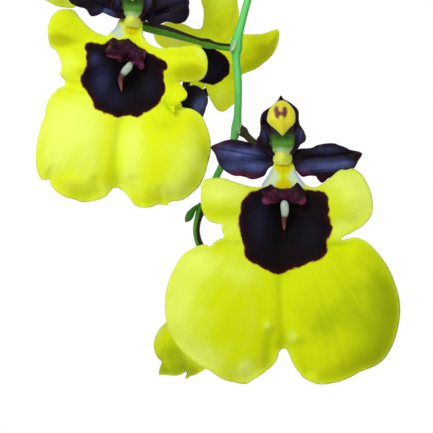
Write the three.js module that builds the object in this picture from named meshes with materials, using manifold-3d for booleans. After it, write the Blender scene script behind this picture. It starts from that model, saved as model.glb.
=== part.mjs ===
// A small oncidium orchid in a clay pot: bark, pseudobulbs, leaves and an arching flower stem with five flowers.
// Millimetres, +Z up. The origin is the centre of the pot's underside. The flower stem arches towards -X and
// the open flowers face -Y.
import * as THREE from "three";
import { mergeVertices } from "three/addons/utils/BufferGeometryUtils.js";
import Module from "manifold-3d";

const wasm = await Module();
wasm.setup();

// ---- Driving dimensions ----
const GAP = 0.3; // clearance kept between pieces that touch
const POT = { height: 80, rimRadius: 46, baseRadius: 31, wall: 4, floor: 5, rimHeight: 17, rimStep: 3 };
const DRAIN = { radius: 4, ring: 16, count: 4 };
const BARK = { top: 71, mound: 4, sideGap: 0.6 };
const RHIZOME_RADIUS = 3;
const BULB = { height: 38, width: 17, depth: 13 };
const LEAF = { thickness: 1.1, width: 17 };
const STEM = { baseRadius: 1.0, tipRadius: 0.5, node: 0.22 };
const SHEET = 0.6; // thickness of petals, sepals and lips

const DEGREES = Math.PI / 180;

const v3 = (x, y, z) => new THREE.Vector3(x, y, z);
const curveThrough = (points) =>
  new THREE.CatmullRomCurve3(points.map((p) => v3(...p)), false, "centripetal");
const smooth = (from, to, x) => {
  const t = Math.min(1, Math.max(0, (x - from) / (to - from)));
  return t * t * (3 - 2 * t);
};
// A smooth profile through evenly spaced values, read at t from 0 to 1.
const profile = (values) => {
  const curve = new THREE.SplineCurve(values.map((y, i) => new THREE.Vector2(i / (values.length - 1), y)));
  return (t) => Math.max(0, curve.getPoint(t).y);
};

// ---- Finishes ----
const finish = (color, roughness) => new THREE.MeshStandardMaterial({ color, roughness, metalness: 0 });
const FINISH = {
  clay: finish("#b4623c", 0.9),
  bark: finish("#5d3d28", 0.95),
  bulb: finish("#7fa046", 0.5),
  leaf: finish("#4f8a3a", 0.45),
  sheath: finish("#b09a6c", 0.8),
  root: finish("#cfd1c2", 0.8),
  stem: finish("#57b25a", 0.45),
  lip: finish("#d8e617", 0.55),
  tepal: finish("#2b1220", 0.5),
  column: finish("#dfe070", 0.45),
};

// ---- Solids ----
function moved(geometry, place) {
  const at = geometry.getAttribute("position");
  const p = v3(0, 0, 0);
  for (let i = 0; i < at.count; i++) {
    place(p.fromBufferAttribute(at, i));
    at.setXYZ(i, p.x, p.y, p.z);
  }
  geometry.deleteAttribute("normal");
  geometry.deleteAttribute("uv");
  return mergeVertices(geometry, 1e-4);
}

function toSolid(geometry) {
  const plain = geometry.clone();
  plain.deleteAttribute("normal");
  plain.deleteAttribute("uv");
  const merged = mergeVertices(plain, 1e-4);
  return new wasm.Manifold(
    new wasm.Mesh({
      numProp: 3,
      vertProperties: new Float32Array(merged.attributes.position.array),
      triVerts: new Uint32Array(merged.index.array),
    }),
  );
}

function toGeometry(solid) {
  const mesh = solid.getMesh();
  return new THREE.BufferGeometry()
    .setAttribute("position", new THREE.BufferAttribute(mesh.vertProperties, 3))
    .setIndex(new THREE.BufferAttribute(mesh.triVerts, 1));
}

const joined = (...geometries) => toGeometry(geometries.map(toSolid).reduce((a, b) => a.add(b)));

const model = new THREE.Group();

function add(name, geometry, material, parent = model) {
  const mesh = new THREE.Mesh(geometry, material);
  mesh.name = name;
  parent.add(mesh);
  return mesh;
}

// A flat blade bent along a spine. facing is the direction that the upper face looks in; cup lifts the edges
// towards it, and halfWidth is read from the base (0) to the tip (1).
function blade({ spine, facing, halfWidth, cup = () => 0, thickness = SHEET, steps = 8, across = 4 }) {
  const chord = spine.getPointAt(1).sub(spine.getPointAt(0));
  const level = v3(...facing).cross(chord).normalize();
  return moved(new THREE.BoxGeometry(2, 2, 1, across, 1, steps), (p) => {
    const [edge, side, along] = [p.x, p.y, p.z + 0.5];
    const tangent = spine.getTangentAt(along);
    const sideways = level.clone().addScaledVector(tangent, -level.dot(tangent)).normalize();
    const up = v3(0, 0, 0).crossVectors(tangent, sideways).normalize();
    const lift = cup(along, edge) + (side * thickness * (1 - 0.4 * edge * edge)) / 2;
    p.copy(spine.getPointAt(along))
      .addScaledVector(sideways, edge * Math.max(0.12, halfWidth(along)))
      .addScaledVector(up, lift);
  });
}

// A round stalk along a curve, with its radius read from the base (0) to the tip (1).
function stalk(curve, radius, steps, sides = 8) {
  const frames = curve.computeFrenetFrames(steps, false);
  const tube = new THREE.CylinderGeometry(1, 1, 1, sides, steps);
  return moved(tube, (p) => {
    const ring = Math.round((0.5 - p.y) * steps);
    const across = v3(0, 0, 0)
      .addScaledVector(frames.normals[ring], p.x)
      .addScaledVector(frames.binormals[ring], p.z)
      .multiplyScalar(radius(ring / steps));
    p.copy(curve.getPointAt(ring / steps)).add(across);
  });
}

// A turned shape whose axis is Z. Each point of the outline is [radius, height], from the bottom to the top.
function turned(outline, sides) {
  const lathe = new THREE.LatheGeometry(outline.map(([r, h]) => new THREE.Vector2(r, h)), sides);
  return moved(lathe.rotateX(Math.PI / 2), () => {});
}

// ---- Pot and bark ----
function pot() {
  const { height, rimRadius, baseRadius, wall, floor, rimHeight, rimStep } = POT;
  const shoulder = height - rimHeight;
  const underRim = rimRadius - rimStep - 1.5;
  const body = turned(
    [
      [0, 0],
      [baseRadius - 1, 0],
      [baseRadius, 1],
      [underRim, shoulder],
      [rimRadius - 1.5, shoulder],
      [rimRadius, height - 1.5],
      [rimRadius - 1.2, height],
      [rimRadius - wall, height],
      [rimRadius - wall - 0.8, height - 1.2],
      [underRim - wall, shoulder - 6],
      [baseRadius - wall + 0.5, floor + 2],
      [baseRadius - wall - 2, floor],
      [0, floor],
    ],
    48,
  );
  let solid = toSolid(body);
  for (let i = 0; i < DRAIN.count; i++) {
    const angle = ((i + 0.5) * 2 * Math.PI) / DRAIN.count;
    const hole = new THREE.CylinderGeometry(DRAIN.radius, DRAIN.radius, floor * 3, 16).rotateX(Math.PI / 2);
    hole.translate(DRAIN.ring * Math.cos(angle), DRAIN.ring * Math.sin(angle), 0);
    solid = solid.subtract(toSolid(hole));
  }
  return toGeometry(solid);
}

// Height of the bark's uneven top.
const barkHeight = (x, y) =>
  BARK.top +
  BARK.mound * (1 - smooth(0, 40, Math.hypot(x, y))) +
  0.7 * Math.sin(x * 0.55 + 1) * Math.cos(y * 0.6) +
  0.5 * Math.sin(x * 0.27 - y * 0.33);

function bark(buried) {
  const { rimRadius, baseRadius, wall, floor, rimHeight, rimStep } = POT;
  const shoulder = POT.height - rimHeight;
  const inside = (r) => r - wall - BARK.sideGap;
  const atBend = inside(rimRadius - rimStep - 1.5);
  const topRadius = atBend + 1.3;
  const rings = [0.8, 0.6, 0.4, 0.2].map((share) => [topRadius * share, BARK.top]);
  const heap = turned(
    [
      [0, floor + GAP],
      [inside(baseRadius) - 2, floor + GAP],
      [inside(baseRadius), floor + 2.6],
      [atBend, shoulder - 6],
      [topRadius, BARK.top],
      ...rings,
      [0, BARK.top],
    ],
    30,
  );
  const bumpy = moved(heap, (p) => {
    if (p.z > BARK.top - 1e-3) p.z = barkHeight(p.x, p.y);
  });
  return toGeometry(buried.reduce((solid, piece) => solid.subtract(toSolid(piece)), toSolid(bumpy)));
}

// ---- Pseudobulbs ----
// Oldest last. Each stands on the rhizome at x, y, leaning by lean degrees towards -X.
const BULBS = [
  { x: -19, y: -5, size: 1.0, lean: 7, turn: 12 },
  { x: -1, y: -1, size: 1.06, lean: 0, turn: -8 },
  { x: 16.5, y: 3.5, size: 0.95, lean: -7, turn: 10 },
  { x: 31, y: 8, size: 0.66, lean: -13, turn: 0 },
];
const RHIZOME_Z = BARK.top + 1.6;
const BULB_FOOT_Z = RHIZOME_Z + RHIZOME_RADIUS + GAP;

const BULB_OUTLINE = [
  [0, 0],
  [0.24, 0.015],
  [0.4, 0.08],
  [0.5, 0.24],
  [0.48, 0.42],
  [0.39, 0.62],
  [0.26, 0.82],
  [0.16, 0.95],
  [0.1, 1],
  [0, 1],
];

// Where a bulb's foot stands and how it leans.
function bulbStance({ x, y, lean }) {
  const tilt = new THREE.Matrix4().makeRotationY(-lean * DEGREES);
  return new THREE.Matrix4().makeTranslation(x, y, BULB_FOOT_Z).multiply(tilt);
}

// grow fattens the bulb, for its pocket in the bark.
function bulb(b, grow = 0) {
  const { width, depth, height } = BULB;
  const shape = turned(BULB_OUTLINE, 16)
    .scale(width * b.size + 2 * grow, depth * b.size + 2 * grow, height * b.size + grow)
    .rotateZ(b.turn * DEGREES)
    .translate(0, 0, -grow);
  return shape.applyMatrix4(bulbStance(b));
}
const bulbTop = (b) => v3(0, 0, BULB.height * b.size).applyMatrix4(bulbStance(b));

// ---- Leaves ----
// Two blades top each of the three younger bulbs. reach and rise say where the tip is from the bulb's top, and
// droop how far the blade bows over before it gets there.
const LEAVES = [
  { bulb: 0, side: -1, reach: [-14, -26], rise: 94, droop: 0.5, width: 0.95 },
  { bulb: 0, side: 1, reach: [-8, 30], rise: 104, droop: 0.6, width: 1 },
  { bulb: 1, side: -1, reach: [16, -46], rise: 70, droop: 1.3, width: 1.06 },
  { bulb: 1, side: 1, reach: [22, 30], rise: 106, droop: 0.8, width: 1 },
  { bulb: 2, side: -1, reach: [62, -22], rise: 40, droop: 1.9, width: 1 },
  { bulb: 2, side: 1, reach: [52, 34], rise: 66, droop: 1.5, width: 0.95 },
];
// How far a leaf's edges stand above its midrib.
const leafFold = (t) => (0.3 + 2.3 * smooth(0, 0.35, t)) * (1 - 0.7 * t);
const leafHalfWidth = profile([0.24, 0.5, 0.82, 0.97, 1, 0.96, 0.85, 0.62, 0.3, 0.03]);

function leaf({ bulb: which, side, reach, rise, droop, width }) {
  const foot = bulbTop(BULBS[which]).add(v3(-side * 0.9, side * 1.8, GAP + 0.3));
  const outward = v3(reach[0], reach[1], 0).normalize();
  const spine = curveThrough(
    [0, 0.2, 0.4, 0.6, 0.8, 1].map((t) => {
      const share = 0.4 * t + 0.6 * t * t;
      const height = rise * t * (1 + droop * (1 - t));
      return [foot.x + reach[0] * share, foot.y + reach[1] * share, foot.z + height];
    }),
  );
  return blade({
    spine,
    facing: [-outward.x, -outward.y, 0.35],
    halfWidth: (t) => (LEAF.width / 2) * width * leafHalfWidth(t),
    cup: (t, edge) => leafFold(t) * Math.abs(edge) + 0.4 * side * edge * t,
    thickness: LEAF.thickness,
    steps: 14,
  });
}

// Papery sheaths that clasp the feet of the two youngest bulbs. clear is how far each stands off its bulb.
const SHEATHS = [
  { bulb: 0, angle: 192, height: 27, clear: 5.1 },
  { bulb: 1, angle: -92, height: 22, clear: 1.0 },
];

const sheathHalfWidth = profile([0.95, 1, 0.9, 0.6, 0.05]);

function sheath({ bulb: which, angle, height, clear }) {
  const { size, turn } = BULBS[which];
  const across = v3(Math.cos(angle * DEGREES), Math.sin(angle * DEGREES), 0);
  const facet = (angle - turn) * DEGREES;
  const [a, b] = [BULB.width * size, BULB.depth * size];
  const reach = (0.5 * a * b) / Math.hypot(b * Math.cos(facet), a * Math.sin(facet));
  const point = (out, up) => across.clone().multiplyScalar(reach + clear + out).setZ(up * height).toArray();
  const shape = blade({
    spine: curveThrough([point(-0.6, 0.1), point(0.2, 0.4), point(0.3, 0.75), point(1.9, 1)]),
    facing: [-across.x, -across.y, 0],
    halfWidth: (t) => 5.2 * sheathHalfWidth(t),
    cup: (t, edge) => 1.9 * (1 - 0.6 * t) * edge * edge,
    thickness: 0.5,
    steps: 6,
  });
  return shape.applyMatrix4(bulbStance(BULBS[which]));
}

// ---- Rhizome and roots ----
const rhizomeCurve = curveThrough([
  [-27, -7, RHIZOME_Z],
  [-19, -5, RHIZOME_Z],
  [-1, -1, RHIZOME_Z],
  [16.5, 3.5, RHIZOME_Z],
  [33, 9, RHIZOME_Z - 0.5],
]);
const rhizome = (grow = 0) =>
  stalk(rhizomeCurve, (t) => (RHIZOME_RADIUS + grow) * (0.75 + 0.25 * Math.sin(Math.PI * t)), 16, 10);

// Roots leave the rhizome, run over the bark, and one hangs over the rim.
const ROOTS = [
  {
    radius: 1.3,
    points: [
      [-8, -6.6, 73.6],
      [-10, -14, 75.8],
      [-14, -25, 76.4],
      [-16.6, -34.2, 80.3],
      [-18.4, -39.6, 82.2],
      [-19.8, -44.2, 81.8],
      [-20.8, -46.4, 77],
      [-21.4, -45.6, 68],
      [-22, -44.2, 58],
    ],
  },
  {
    radius: 1.2,
    points: [
      [9.5, -3.4, 73.4],
      [12, -9, 75.2],
      [20, -17, 74.3],
      [24, -27, 73.2],
      [14, -34, 72.6],
    ],
  },
];
const root = ({ radius, points }, grow = 0) =>
  stalk(curveThrough(points), (t) => (radius + grow) * (1 - 0.35 * smooth(0.85, 1, t)), points.length * 3, 8);

// ---- Flower stem ----
// From the foot of the youngest bulb, up, over to -X and down, zigzagging from one flowering node to the next.
const STEM_POINTS = [
  [-29.6, -8.2, 76.6],
  [-31.2, -8.6, 88],
  [-34.8, -8.2, 110],
  [-41, -4, 145],
  [-50, 2, 178],
  [-61, 7, 199],
  [-73, 10.5, 207.5],
  [-82, 12, 204],
  [-86.5, 12.5, 193],
  [-88, 12.6, 182],
  [-89.6, 12.4, 172.3],
  [-89, 12.2, 161],
  [-93.9, 11.8, 149.6],
];
const stemCurve = curveThrough(STEM_POINTS);
// Shares of the stem's length where it thickens into a node.
const STEM_NODES = [0.14, 0.36, 0.57, 0.774, 0.806, 0.885, 0.941];
function flowerStem() {
  const swelling = (t) => STEM_NODES.reduce((sum, n) => sum + Math.exp(-(((t - n) / 0.006) ** 2)), 0);
  const radius = (t) => STEM.baseRadius + (STEM.tipRadius - STEM.baseRadius) * t + STEM.node * swelling(t);
  return stalk(stemCurve, radius, 90, 8);
}

// ---- Flowers ----
// Lip outline about its middle: the claw at the top, a side lobe, the notch, and one half of the skirt.
const LIP_CENTRE_Z = -10.9;
const LIP_RIGHT = [
  [0.0, 9.6],
  [1.7, 9.2],
  [2.6, 8.0],
  [4.4, 7.1],
  [6.6, 8.3],
  [8.4, 9.7],
  [10.2, 9.5],
  [11.9, 7.4],
  [12.5, 4.6],
  [11.6, 2.2],
  [9.6, 0.9],
  [8.1, 0.0],
  [9.2, -0.4],
  [11.4, -0.6],
  [14.4, -3.6],
  [16.3, -8.6],
  [15.9, -13.6],
  [13.4, -17.7],
  [10.0, -19.4],
  [6.0, -20.5],
  [3.0, -19.6],
  [1.3, -17.6],
  [0.2, -15.4],
];
const LIP_LEFT = [
  [-1.2, -17.4],
  [-3.4, -19.3],
  [-6.2, -20.4],
  [-9.6, -19.2],
  [-13.6, -16.4],
  [-16.2, -12.4],
  [-16.4, -7.8],
  [-14.6, -3.0],
  [-11.6, -1.2],
  [-9.0, -0.8],
  [-8.2, 0.6],
  [-8.8, 2.0],
  [-10.6, 2.7],
  [-11.6, 5.4],
  [-10.9, 7.9],
  [-8.6, 8.5],
  [-5.4, 7.4],
  [-2.8, 7.4],
  [-1.7, 9.2],
];

// The lip's reach from its middle in each direction. skirt widens and lengthens the skirt by its two shares,
// and leftWing and rightWing move the side lobes by that much in x and z.
function lipReach({ skirt, leftWing, rightWing }) {
  const outline = [...LIP_RIGHT, ...LIP_LEFT].map(([x, z]) => {
    const low = smooth(1, -4, z);
    const [dx, dz] = x < 0 ? leftWing : rightWing;
    const wing = smooth(2, 8, Math.abs(x)) * smooth(0, 4, z);
    return v3(x * (1 + (skirt[0] - 1) * low) + dx * wing, 0, z * (1 + (skirt[1] - 1) * low) + dz * wing);
  });
  const ring = new THREE.CatmullRomCurve3(outline, true, "centripetal")
    .getPoints(480)
    .map((p) => ({ angle: Math.atan2(p.z, p.x), reach: Math.hypot(p.x, p.z) }));
  const turnBetween = (a, b) => Math.abs(Math.atan2(Math.sin(a - b), Math.cos(a - b)));
  return (angle) =>
    ring.reduce((best, p) => (turnBetween(p.angle, angle) < turnBetween(best.angle, angle) ? p : best)).reach;
}

// How far the lip's face stands behind the flower's front plane at x, z from the lip's middle.
function lipDepth(x, z) {
  const half = Math.abs(x);
  const skirt = smooth(-1, -9, z);
  const pillow = Math.exp(-(((half - 8) / 7.5) ** 2) - ((z + 10) / 8) ** 2);
  const groove = Math.exp(-((x / 1.6) ** 2)) * skirt;
  const curlBack = 0.016 * Math.max(0, Math.hypot(half - 5, (z + 9) * 0.9) - 6) ** 2;
  const claw = 0.55 * Math.max(0, z - 6.2);
  const wing = 1.3 * smooth(5, 12, half) * smooth(-1, 2, z);
  return claw + wing - 2.4 * pillow * skirt + 1.0 * groove + curlBack * smooth(2, -2, z) - 0.9;
}

function lip({ skirt, leftWing = [0, 0], rightWing = [0, 0] }) {
  const rings = [0.3, 0.6, 0.85, 1];
  const outline = [
    [0, -1],
    ...rings.map((r) => [r, -1]),
    ...rings.toReversed().map((r) => [r, 1]),
    [0, 1],
  ];
  const reach = lipReach({ skirt, leftWing, rightWing });
  const sheet = moved(turned(outline, 44), (p) => {
    const angle = Math.atan2(p.y, p.x);
    const share = Math.hypot(p.x, p.y);
    const far = share * reach(angle);
    const [x, z] = [far * Math.cos(angle), far * Math.sin(angle)];
    const front = lipDepth(x, z);
    p.set(x, front + (p.z > 0 ? 0 : SHEET), z + LIP_CENTRE_Z);
  });
  const crest = new THREE.SphereGeometry(1, 12, 8).scale(2.9, 1.3, 1.15).translate(0, -0.8, -4.8);
  const tooth = new THREE.SphereGeometry(1, 8, 8).scale(0.65, 0.9, 2.0).translate(0, -1.2, -7.4);
  return joined(sheet, crest, tooth);
}

const COLUMN_OUTLINE = [
  [0, 0],
  [1.15, 0.1],
  [1.3, 1.2],
  [1.75, 2.6],
  [1.8, 3.8],
  [2.0, 5.6],
  [1.75, 7.2],
  [1.0, 8.3],
  [0, 8.5],
];
// The column leans forwards from the flower's middle and carries the anther cap at its top.
function column() {
  return moved(turned(COLUMN_OUTLINE, 12), (p) => {
    p.y = p.y * 0.75 - 0.25 * p.z + 1.6;
  });
}

const tepalHalfWidth = profile([0.3, 0.62, 0.93, 1, 0.9, 0.6, 0.04]);

function tepal({ points, width, cup = 0.9, facing = [0, -1, 0], steps = 7 }) {
  return blade({
    spine: curveThrough(points),
    facing,
    halfWidth: (t) => width * tepalHalfWidth(t),
    cup: (t, edge) => cup * edge * edge,
    steps,
  });
}

function dorsalSepal() {
  const points = [
    [0, 3.5, 1.3],
    [0, 3.9, 4],
    [0, 3.0, 6.8],
    [-0.2, 1.4, 9.1],
  ];
  return tepal({ points, width: 3.4, cup: 1.0 });
}

function petal(side, length, rise) {
  const points = [
    [side * 2.1, 1.9, -0.5],
    [side * (2.1 + length * 0.3), 1.2, rise * 0.2 - 0.5],
    [side * (2.1 + length * 0.65), 0.7, rise * 0.6 - 0.2],
    [side * (2.1 + length), 1.0, rise],
  ];
  return tepal({ points, width: 2.6, cup: 0.7 });
}

// The two side sepals hang behind the lip and are joined at their base.
function lateralSepals() {
  const one = (side) =>
    tepal({
      points: [
        [side * 0.5, 3.1, -0.7],
        [side * 1.6, 3.5, -3.4],
        [side * 3.0, 3.6, -6.6],
        [side * 4.0, 3.2, -9.4],
      ],
      width: 1.9,
      cup: 0.4,
    });
  return joined(one(-1), one(1));
}

// Each flower's middle, its turns in degrees (yaw about Z, nod about X, roll about its own facing axis), its
// size beside the largest, its lip's own shape, and each petal's length and rise.
const FLOWERS = [
  {
    name: "right_flower",
    at: [-82.7, 0, 155.9],
    turn: { yaw: 0, nod: 0, roll: 0 },
    size: 1,
    lip: { skirt: [1, 1] },
    petals: { left: [7.9, 1.6], right: [9.2, 0.7] },
    stalk: [
      [-87.4, 11.9, 160.3],
      [-86.2, 9.8, 159.4],
      [-84.2, 6.8, 157.4],
      [-82.8, 5.2, 156],
    ],
  },
  {
    name: "left_flower",
    at: [-104, 3, 175.5],
    turn: { yaw: 0, nod: 0, roll: 4.4 },
    size: 0.93,
    lip: { skirt: [0.81, 0.85], leftWing: [-1, 4], rightWing: [-0.4, -1.4] },
    petals: { left: [9, 5], right: [8.6, 5] },
    stalk: [
      [-90.9, 12.3, 172.7],
      [-94.5, 11.2, 173.6],
      [-99.5, 9.4, 174.9],
      [-103.6, 7.8, 175.7],
    ],
  },
  {
    name: "back_flower",
    at: [-96.4, 24, 164.8],
    turn: { yaw: 14, nod: 0, roll: -150 },
    size: 0.56,
    lip: { skirt: [0.95, 0.95] },
    petals: { left: [8, 2], right: [8, 2] },
    stalk: [
      [-86.9, 14, 189],
      [-86.6, 21, 190],
      [-89, 28, 184],
      [-93.6, 30, 173],
      [-96, 27.4, 166.4],
    ],
  },
  {
    name: "lower_flower",
    at: [-93.2, 19, 136.4],
    turn: { yaw: -46, nod: 0, roll: 36 },
    size: 0.5,
    lip: { skirt: [0.95, 0.95] },
    petals: { left: [8, 2], right: [8, 2] },
    stalk: [
      [-94.4, 12.1, 148.8],
      [-94.9, 13.6, 146.6],
      [-94.3, 18, 144.4],
      [-92.4, 22.6, 141],
      [-91.2, 22.4, 136.9],
    ],
  },
  {
    name: "upper_flower",
    at: [-112, 15, 204.5],
    turn: { yaw: -24, nod: 0, roll: 4 },
    size: 0.93,
    lip: { skirt: [0.84, 0.86] },
    petals: { left: [8.6, 3], right: [8.6, 3] },
    stalk: [
      [-86.7, 14.3, 195.8],
      [-93, 17.4, 200.6],
      [-102, 20, 204.6],
      [-109.6, 19.6, 205.2],
    ],
  },
];

const pedicelRadius = profile([0.62, 0.5, 0.55, 0.72, 0.85, 0.7]);

function addFlower({ name, at, turn, size, lip: lipShape, petals, stalk: way }) {
  const flower = new THREE.Group();
  flower.position.set(...at);
  flower.rotation.set(turn.nod * DEGREES, turn.roll * DEGREES, turn.yaw * DEGREES, "ZXY");
  flower.scale.setScalar(size);
  model.add(flower);
  add(`${name}_lip`, lip(lipShape), FINISH.lip, flower);
  add(`${name}_column`, column(), FINISH.column, flower);
  add(`${name}_dorsal_sepal`, dorsalSepal(), FINISH.tepal, flower);
  add(`${name}_left_petal`, petal(-1, ...petals.left), FINISH.tepal, flower);
  add(`${name}_right_petal`, petal(1, ...petals.right), FINISH.tepal, flower);
  add(`${name}_side_sepals`, lateralSepals(), FINISH.tepal, flower);
  add(`${name}_stalk`, stalk(curveThrough(way), pedicelRadius, way.length * 3, 7), FINISH.stem);
}

// ---- Bracts and the bud at the stem's tip ----
// at is the share of the stem's length, and side the direction in which the bract stands off the stem.
const BRACTS = [
  { name: "stem_bract_low", at: 0.14, side: [-0.6, -0.8, 0], length: 11, width: 1.7 },
  { name: "stem_bract_high", at: 0.36, side: [0.7, -0.7, 0], length: 10, width: 1.5 },
  { name: "left_flower_bract", at: 0.871, side: [-0.3, -0.95, 0], length: 2.6, width: 0.8 },
  { name: "right_flower_bract", at: 0.929, side: [0.3, -0.95, 0], length: 2.0, width: 0.7 },
];
const bractHalfWidth = profile([0.9, 1, 0.7, 0.05]);

function bract({ at, side, length, width }) {
  const along = stemCurve.getTangentAt(at);
  const away = v3(...side).addScaledVector(along, -along.dot(v3(...side))).normalize();
  const foot = stemCurve.getPointAt(at).addScaledVector(away, STEM.baseRadius + 0.55);
  const point = (share, out) =>
    foot.clone().addScaledVector(along, share * length).addScaledVector(away, out * width);
  return blade({
    spine: new THREE.CatmullRomCurve3([point(0, 0), point(0.5, 0.1), point(1, 0.6)]),
    facing: away.clone().negate().toArray(),
    halfWidth: (t) => width * bractHalfWidth(t),
    cup: (t, edge) => 0.35 * width * edge * edge,
    thickness: 0.4,
    steps: 5,
  });
}

const TIP_BUD_POINTS = [
  [-94.6, 11.6, 149.4],
  [-95.7, 11.2, 149.2],
  [-96.2, 11, 148.4],
  [-96.6, 10.9, 147.5],
];
const tipBudRadius = profile([0.28, 0.28, 0.5, 0.62, 0.45, 0.1]);

// ---- Assembly ----
BULBS.forEach((b, i) => add(`pseudobulb_${i + 1}`, bulb(b), FINISH.bulb));
LEAVES.forEach((l, i) => add(`leaf_${i + 1}`, leaf(l), FINISH.leaf));
SHEATHS.forEach((s, i) => add(`bulb_sheath_${i + 1}`, sheath(s), FINISH.sheath));
ROOTS.forEach((r, i) => add(`root_${i + 1}`, root(r), FINISH.root));
add("rhizome", rhizome(), FINISH.sheath);
add("flower_stem", flowerStem(), FINISH.stem);
BRACTS.forEach((b) => add(b.name, bract(b), FINISH.sheath));
add("tip_bud", stalk(curveThrough(TIP_BUD_POINTS), tipBudRadius, 10, 8), FINISH.stem);
FLOWERS.forEach(addFlower);
add("pot", pot(), FINISH.clay);
const buried = [
  rhizome(GAP),
  ...BULBS.map((b) => bulb(b, GAP)),
  ...ROOTS.map((r) => root(r, GAP)),
];
add("potting_bark", bark(buried), FINISH.bark);

export default model;
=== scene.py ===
"""A potted oncidium orchid in bloom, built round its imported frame.

Sizes in the tables below are millimetres in the frame's own axes: Z is up, the middle of the pot's underside is
the origin, and the open flowers face -Y. A finished mesh is scaled to metres and its object stays at the origin.
"""

import random
from bisect import bisect_left
from math import atan2, ceil, cos, exp, hypot, pi, radians, sin, sqrt, tau

import bmesh
import bpy
import numpy as np
from bpy.props import FloatProperty, FloatVectorProperty, IntProperty, PointerProperty
from mathutils import Matrix, Vector, noise


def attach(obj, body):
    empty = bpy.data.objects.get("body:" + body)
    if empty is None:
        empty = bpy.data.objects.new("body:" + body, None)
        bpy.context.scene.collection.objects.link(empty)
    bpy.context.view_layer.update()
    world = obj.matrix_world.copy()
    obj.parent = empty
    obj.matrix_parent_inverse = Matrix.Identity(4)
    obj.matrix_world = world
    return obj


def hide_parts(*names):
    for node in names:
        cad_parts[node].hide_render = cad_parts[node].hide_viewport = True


bl_info = {
    "name": "Potted Orchid",
    "version": (1, 0, 0),
    "blender": (4, 5, 0),
    "location": "3D View > Sidebar > Orchid",
    "description": "Models a potted oncidium orchid with its flower spray round a packed frame",
    "category": "Add Mesh",
}

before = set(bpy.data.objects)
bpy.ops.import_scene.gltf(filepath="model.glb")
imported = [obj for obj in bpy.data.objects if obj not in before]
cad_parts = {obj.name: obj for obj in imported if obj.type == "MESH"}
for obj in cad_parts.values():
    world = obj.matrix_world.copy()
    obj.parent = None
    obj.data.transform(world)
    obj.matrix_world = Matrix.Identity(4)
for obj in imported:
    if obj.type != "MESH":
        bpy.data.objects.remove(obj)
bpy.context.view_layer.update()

MM = 0.001
BODY = "root"
FRONT = (0, -1, 0)  # the way the open flowers face
SIDES = ((-1, "left"), (1, "right"))

# In metres: how far the floor lies below the pot, where the lamps aim, and where the camera stands and sees.
FLOOR_DROP = 0.0003
LAMP_AIM = (-0.092, 0.0, 0.15)
CAMERA_X, CAMERA_Z = -0.092, 0.148
CAMERA_CLIP = (0.01, 10.0)
SENSOR_WIDTH = 36.0  # in millimetres
# Each lamp's name, the setting of its power, its place and its side.
LAMPS = [("key_lamp", "key", (-0.5, -0.62, 0.62), 0.42), ("fill_lamp", "rim", (0.62, -0.55, 0.35), 0.6)]


# ---- Numbers and curves ----


def smooth(low, high, value):
    """0 below low, 1 above high, and a soft step between them."""
    t = min(1.0, max(0.0, (value - low) / (high - low)))
    return t * t * (3 - 2 * t)


def bell(value, width):
    """1 at zero, fading over a width to each side."""
    return exp(-((value / width) ** 2))


def blob(x, z, cx, cz, rx, rz):
    """A soft round patch of 1 at (cx, cz) that fades over rx and rz."""
    return exp(-(((x - cx) / rx) ** 2) - ((z - cz) / rz) ** 2)


def blobs(x, z, spots):
    """The sum of soft patches, each given as (cx, cz, rx, rz, amount)."""
    return sum(amount * blob(x, z, cx, cz, rx, rz) for cx, cz, rx, rz, amount in spots)


def furrow(x, z, x1, z1, x2, z2, width):
    """1 on the line from (x1, z1) to (x2, z2), fading over width to each side and past its ends."""
    dx, dz = x2 - x1, z2 - z1
    share = max(0.0, min(1.0, ((x - x1) * dx + (z - z1) * dz) / (dx * dx + dz * dz)))
    gap = hypot(x - x1 - share * dx, z - z1 - share * dz)
    return bell(gap, width)


def span_point(ring, share):
    """A point on the centripetal curve between the middle two of four points."""
    a, b, c, d = ring
    before, between, after = (max(1e-4, sqrt((q - p).length)) for p, q in ((a, b), (b, c), (c, d)))
    leave = ((b - a) / before - (c - a) / (before + between) + (c - b) / between) * between
    reach = ((c - b) / between - (d - b) / (between + after) + (d - c) / after) * between
    square, cube = share * share, share * share * share
    rise = 3 * (c - b) - 2 * leave - reach
    fall = 2 * (b - c) + leave + reach
    return b + leave * share + rise * square + fall * cube


class Way:
    """A smooth curve through points, read by the share of its length."""

    def __init__(self, points, closed=False, per_span=16):
        points = [Vector(p) for p in points]
        if closed:
            ring = [points[-1], *points, points[0], points[1]]
        else:
            ring = [2 * points[0] - points[1], *points, 2 * points[-1] - points[-2]]
        steps = [k / per_span for k in range(per_span)]
        self.points = [span_point(ring[i : i + 4], t) for i in range(len(ring) - 3) for t in steps]
        self.points.append(ring[-2])
        self.marks = [0.0]
        for a, b in zip(self.points, self.points[1:]):
            self.marks.append(self.marks[-1] + (b - a).length)
        self.length = self.marks[-1]

    def at(self, share):
        reach = min(1.0, max(0.0, share)) * self.length
        i = min(max(1, bisect_left(self.marks, reach)), len(self.marks) - 1)
        span = self.marks[i] - self.marks[i - 1]
        part = (reach - self.marks[i - 1]) / span if span else 0.0
        return self.points[i - 1].lerp(self.points[i], part)

    def heading(self, share):
        return (self.at(share + 0.004) - self.at(share - 0.004)).normalized()


def profile(*values):
    """A smooth run through evenly spaced values, read from 0 to 1."""
    run = Way([(i / (len(values) - 1), value, 0) for i, value in enumerate(values)])
    heights = [p.y for p in run.points]
    places = [p.x for p in run.points]

    def read(t):
        return max(0.0, float(np.interp(t, places, heights)))

    return read


def rough(x, y, z, scale, seed=0.0):
    """Smooth noise from -1 to 1 whose features are about 1/scale wide."""
    return noise.noise(Vector((x * scale + seed, y * scale - seed, z * scale + 2 * seed)))


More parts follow.
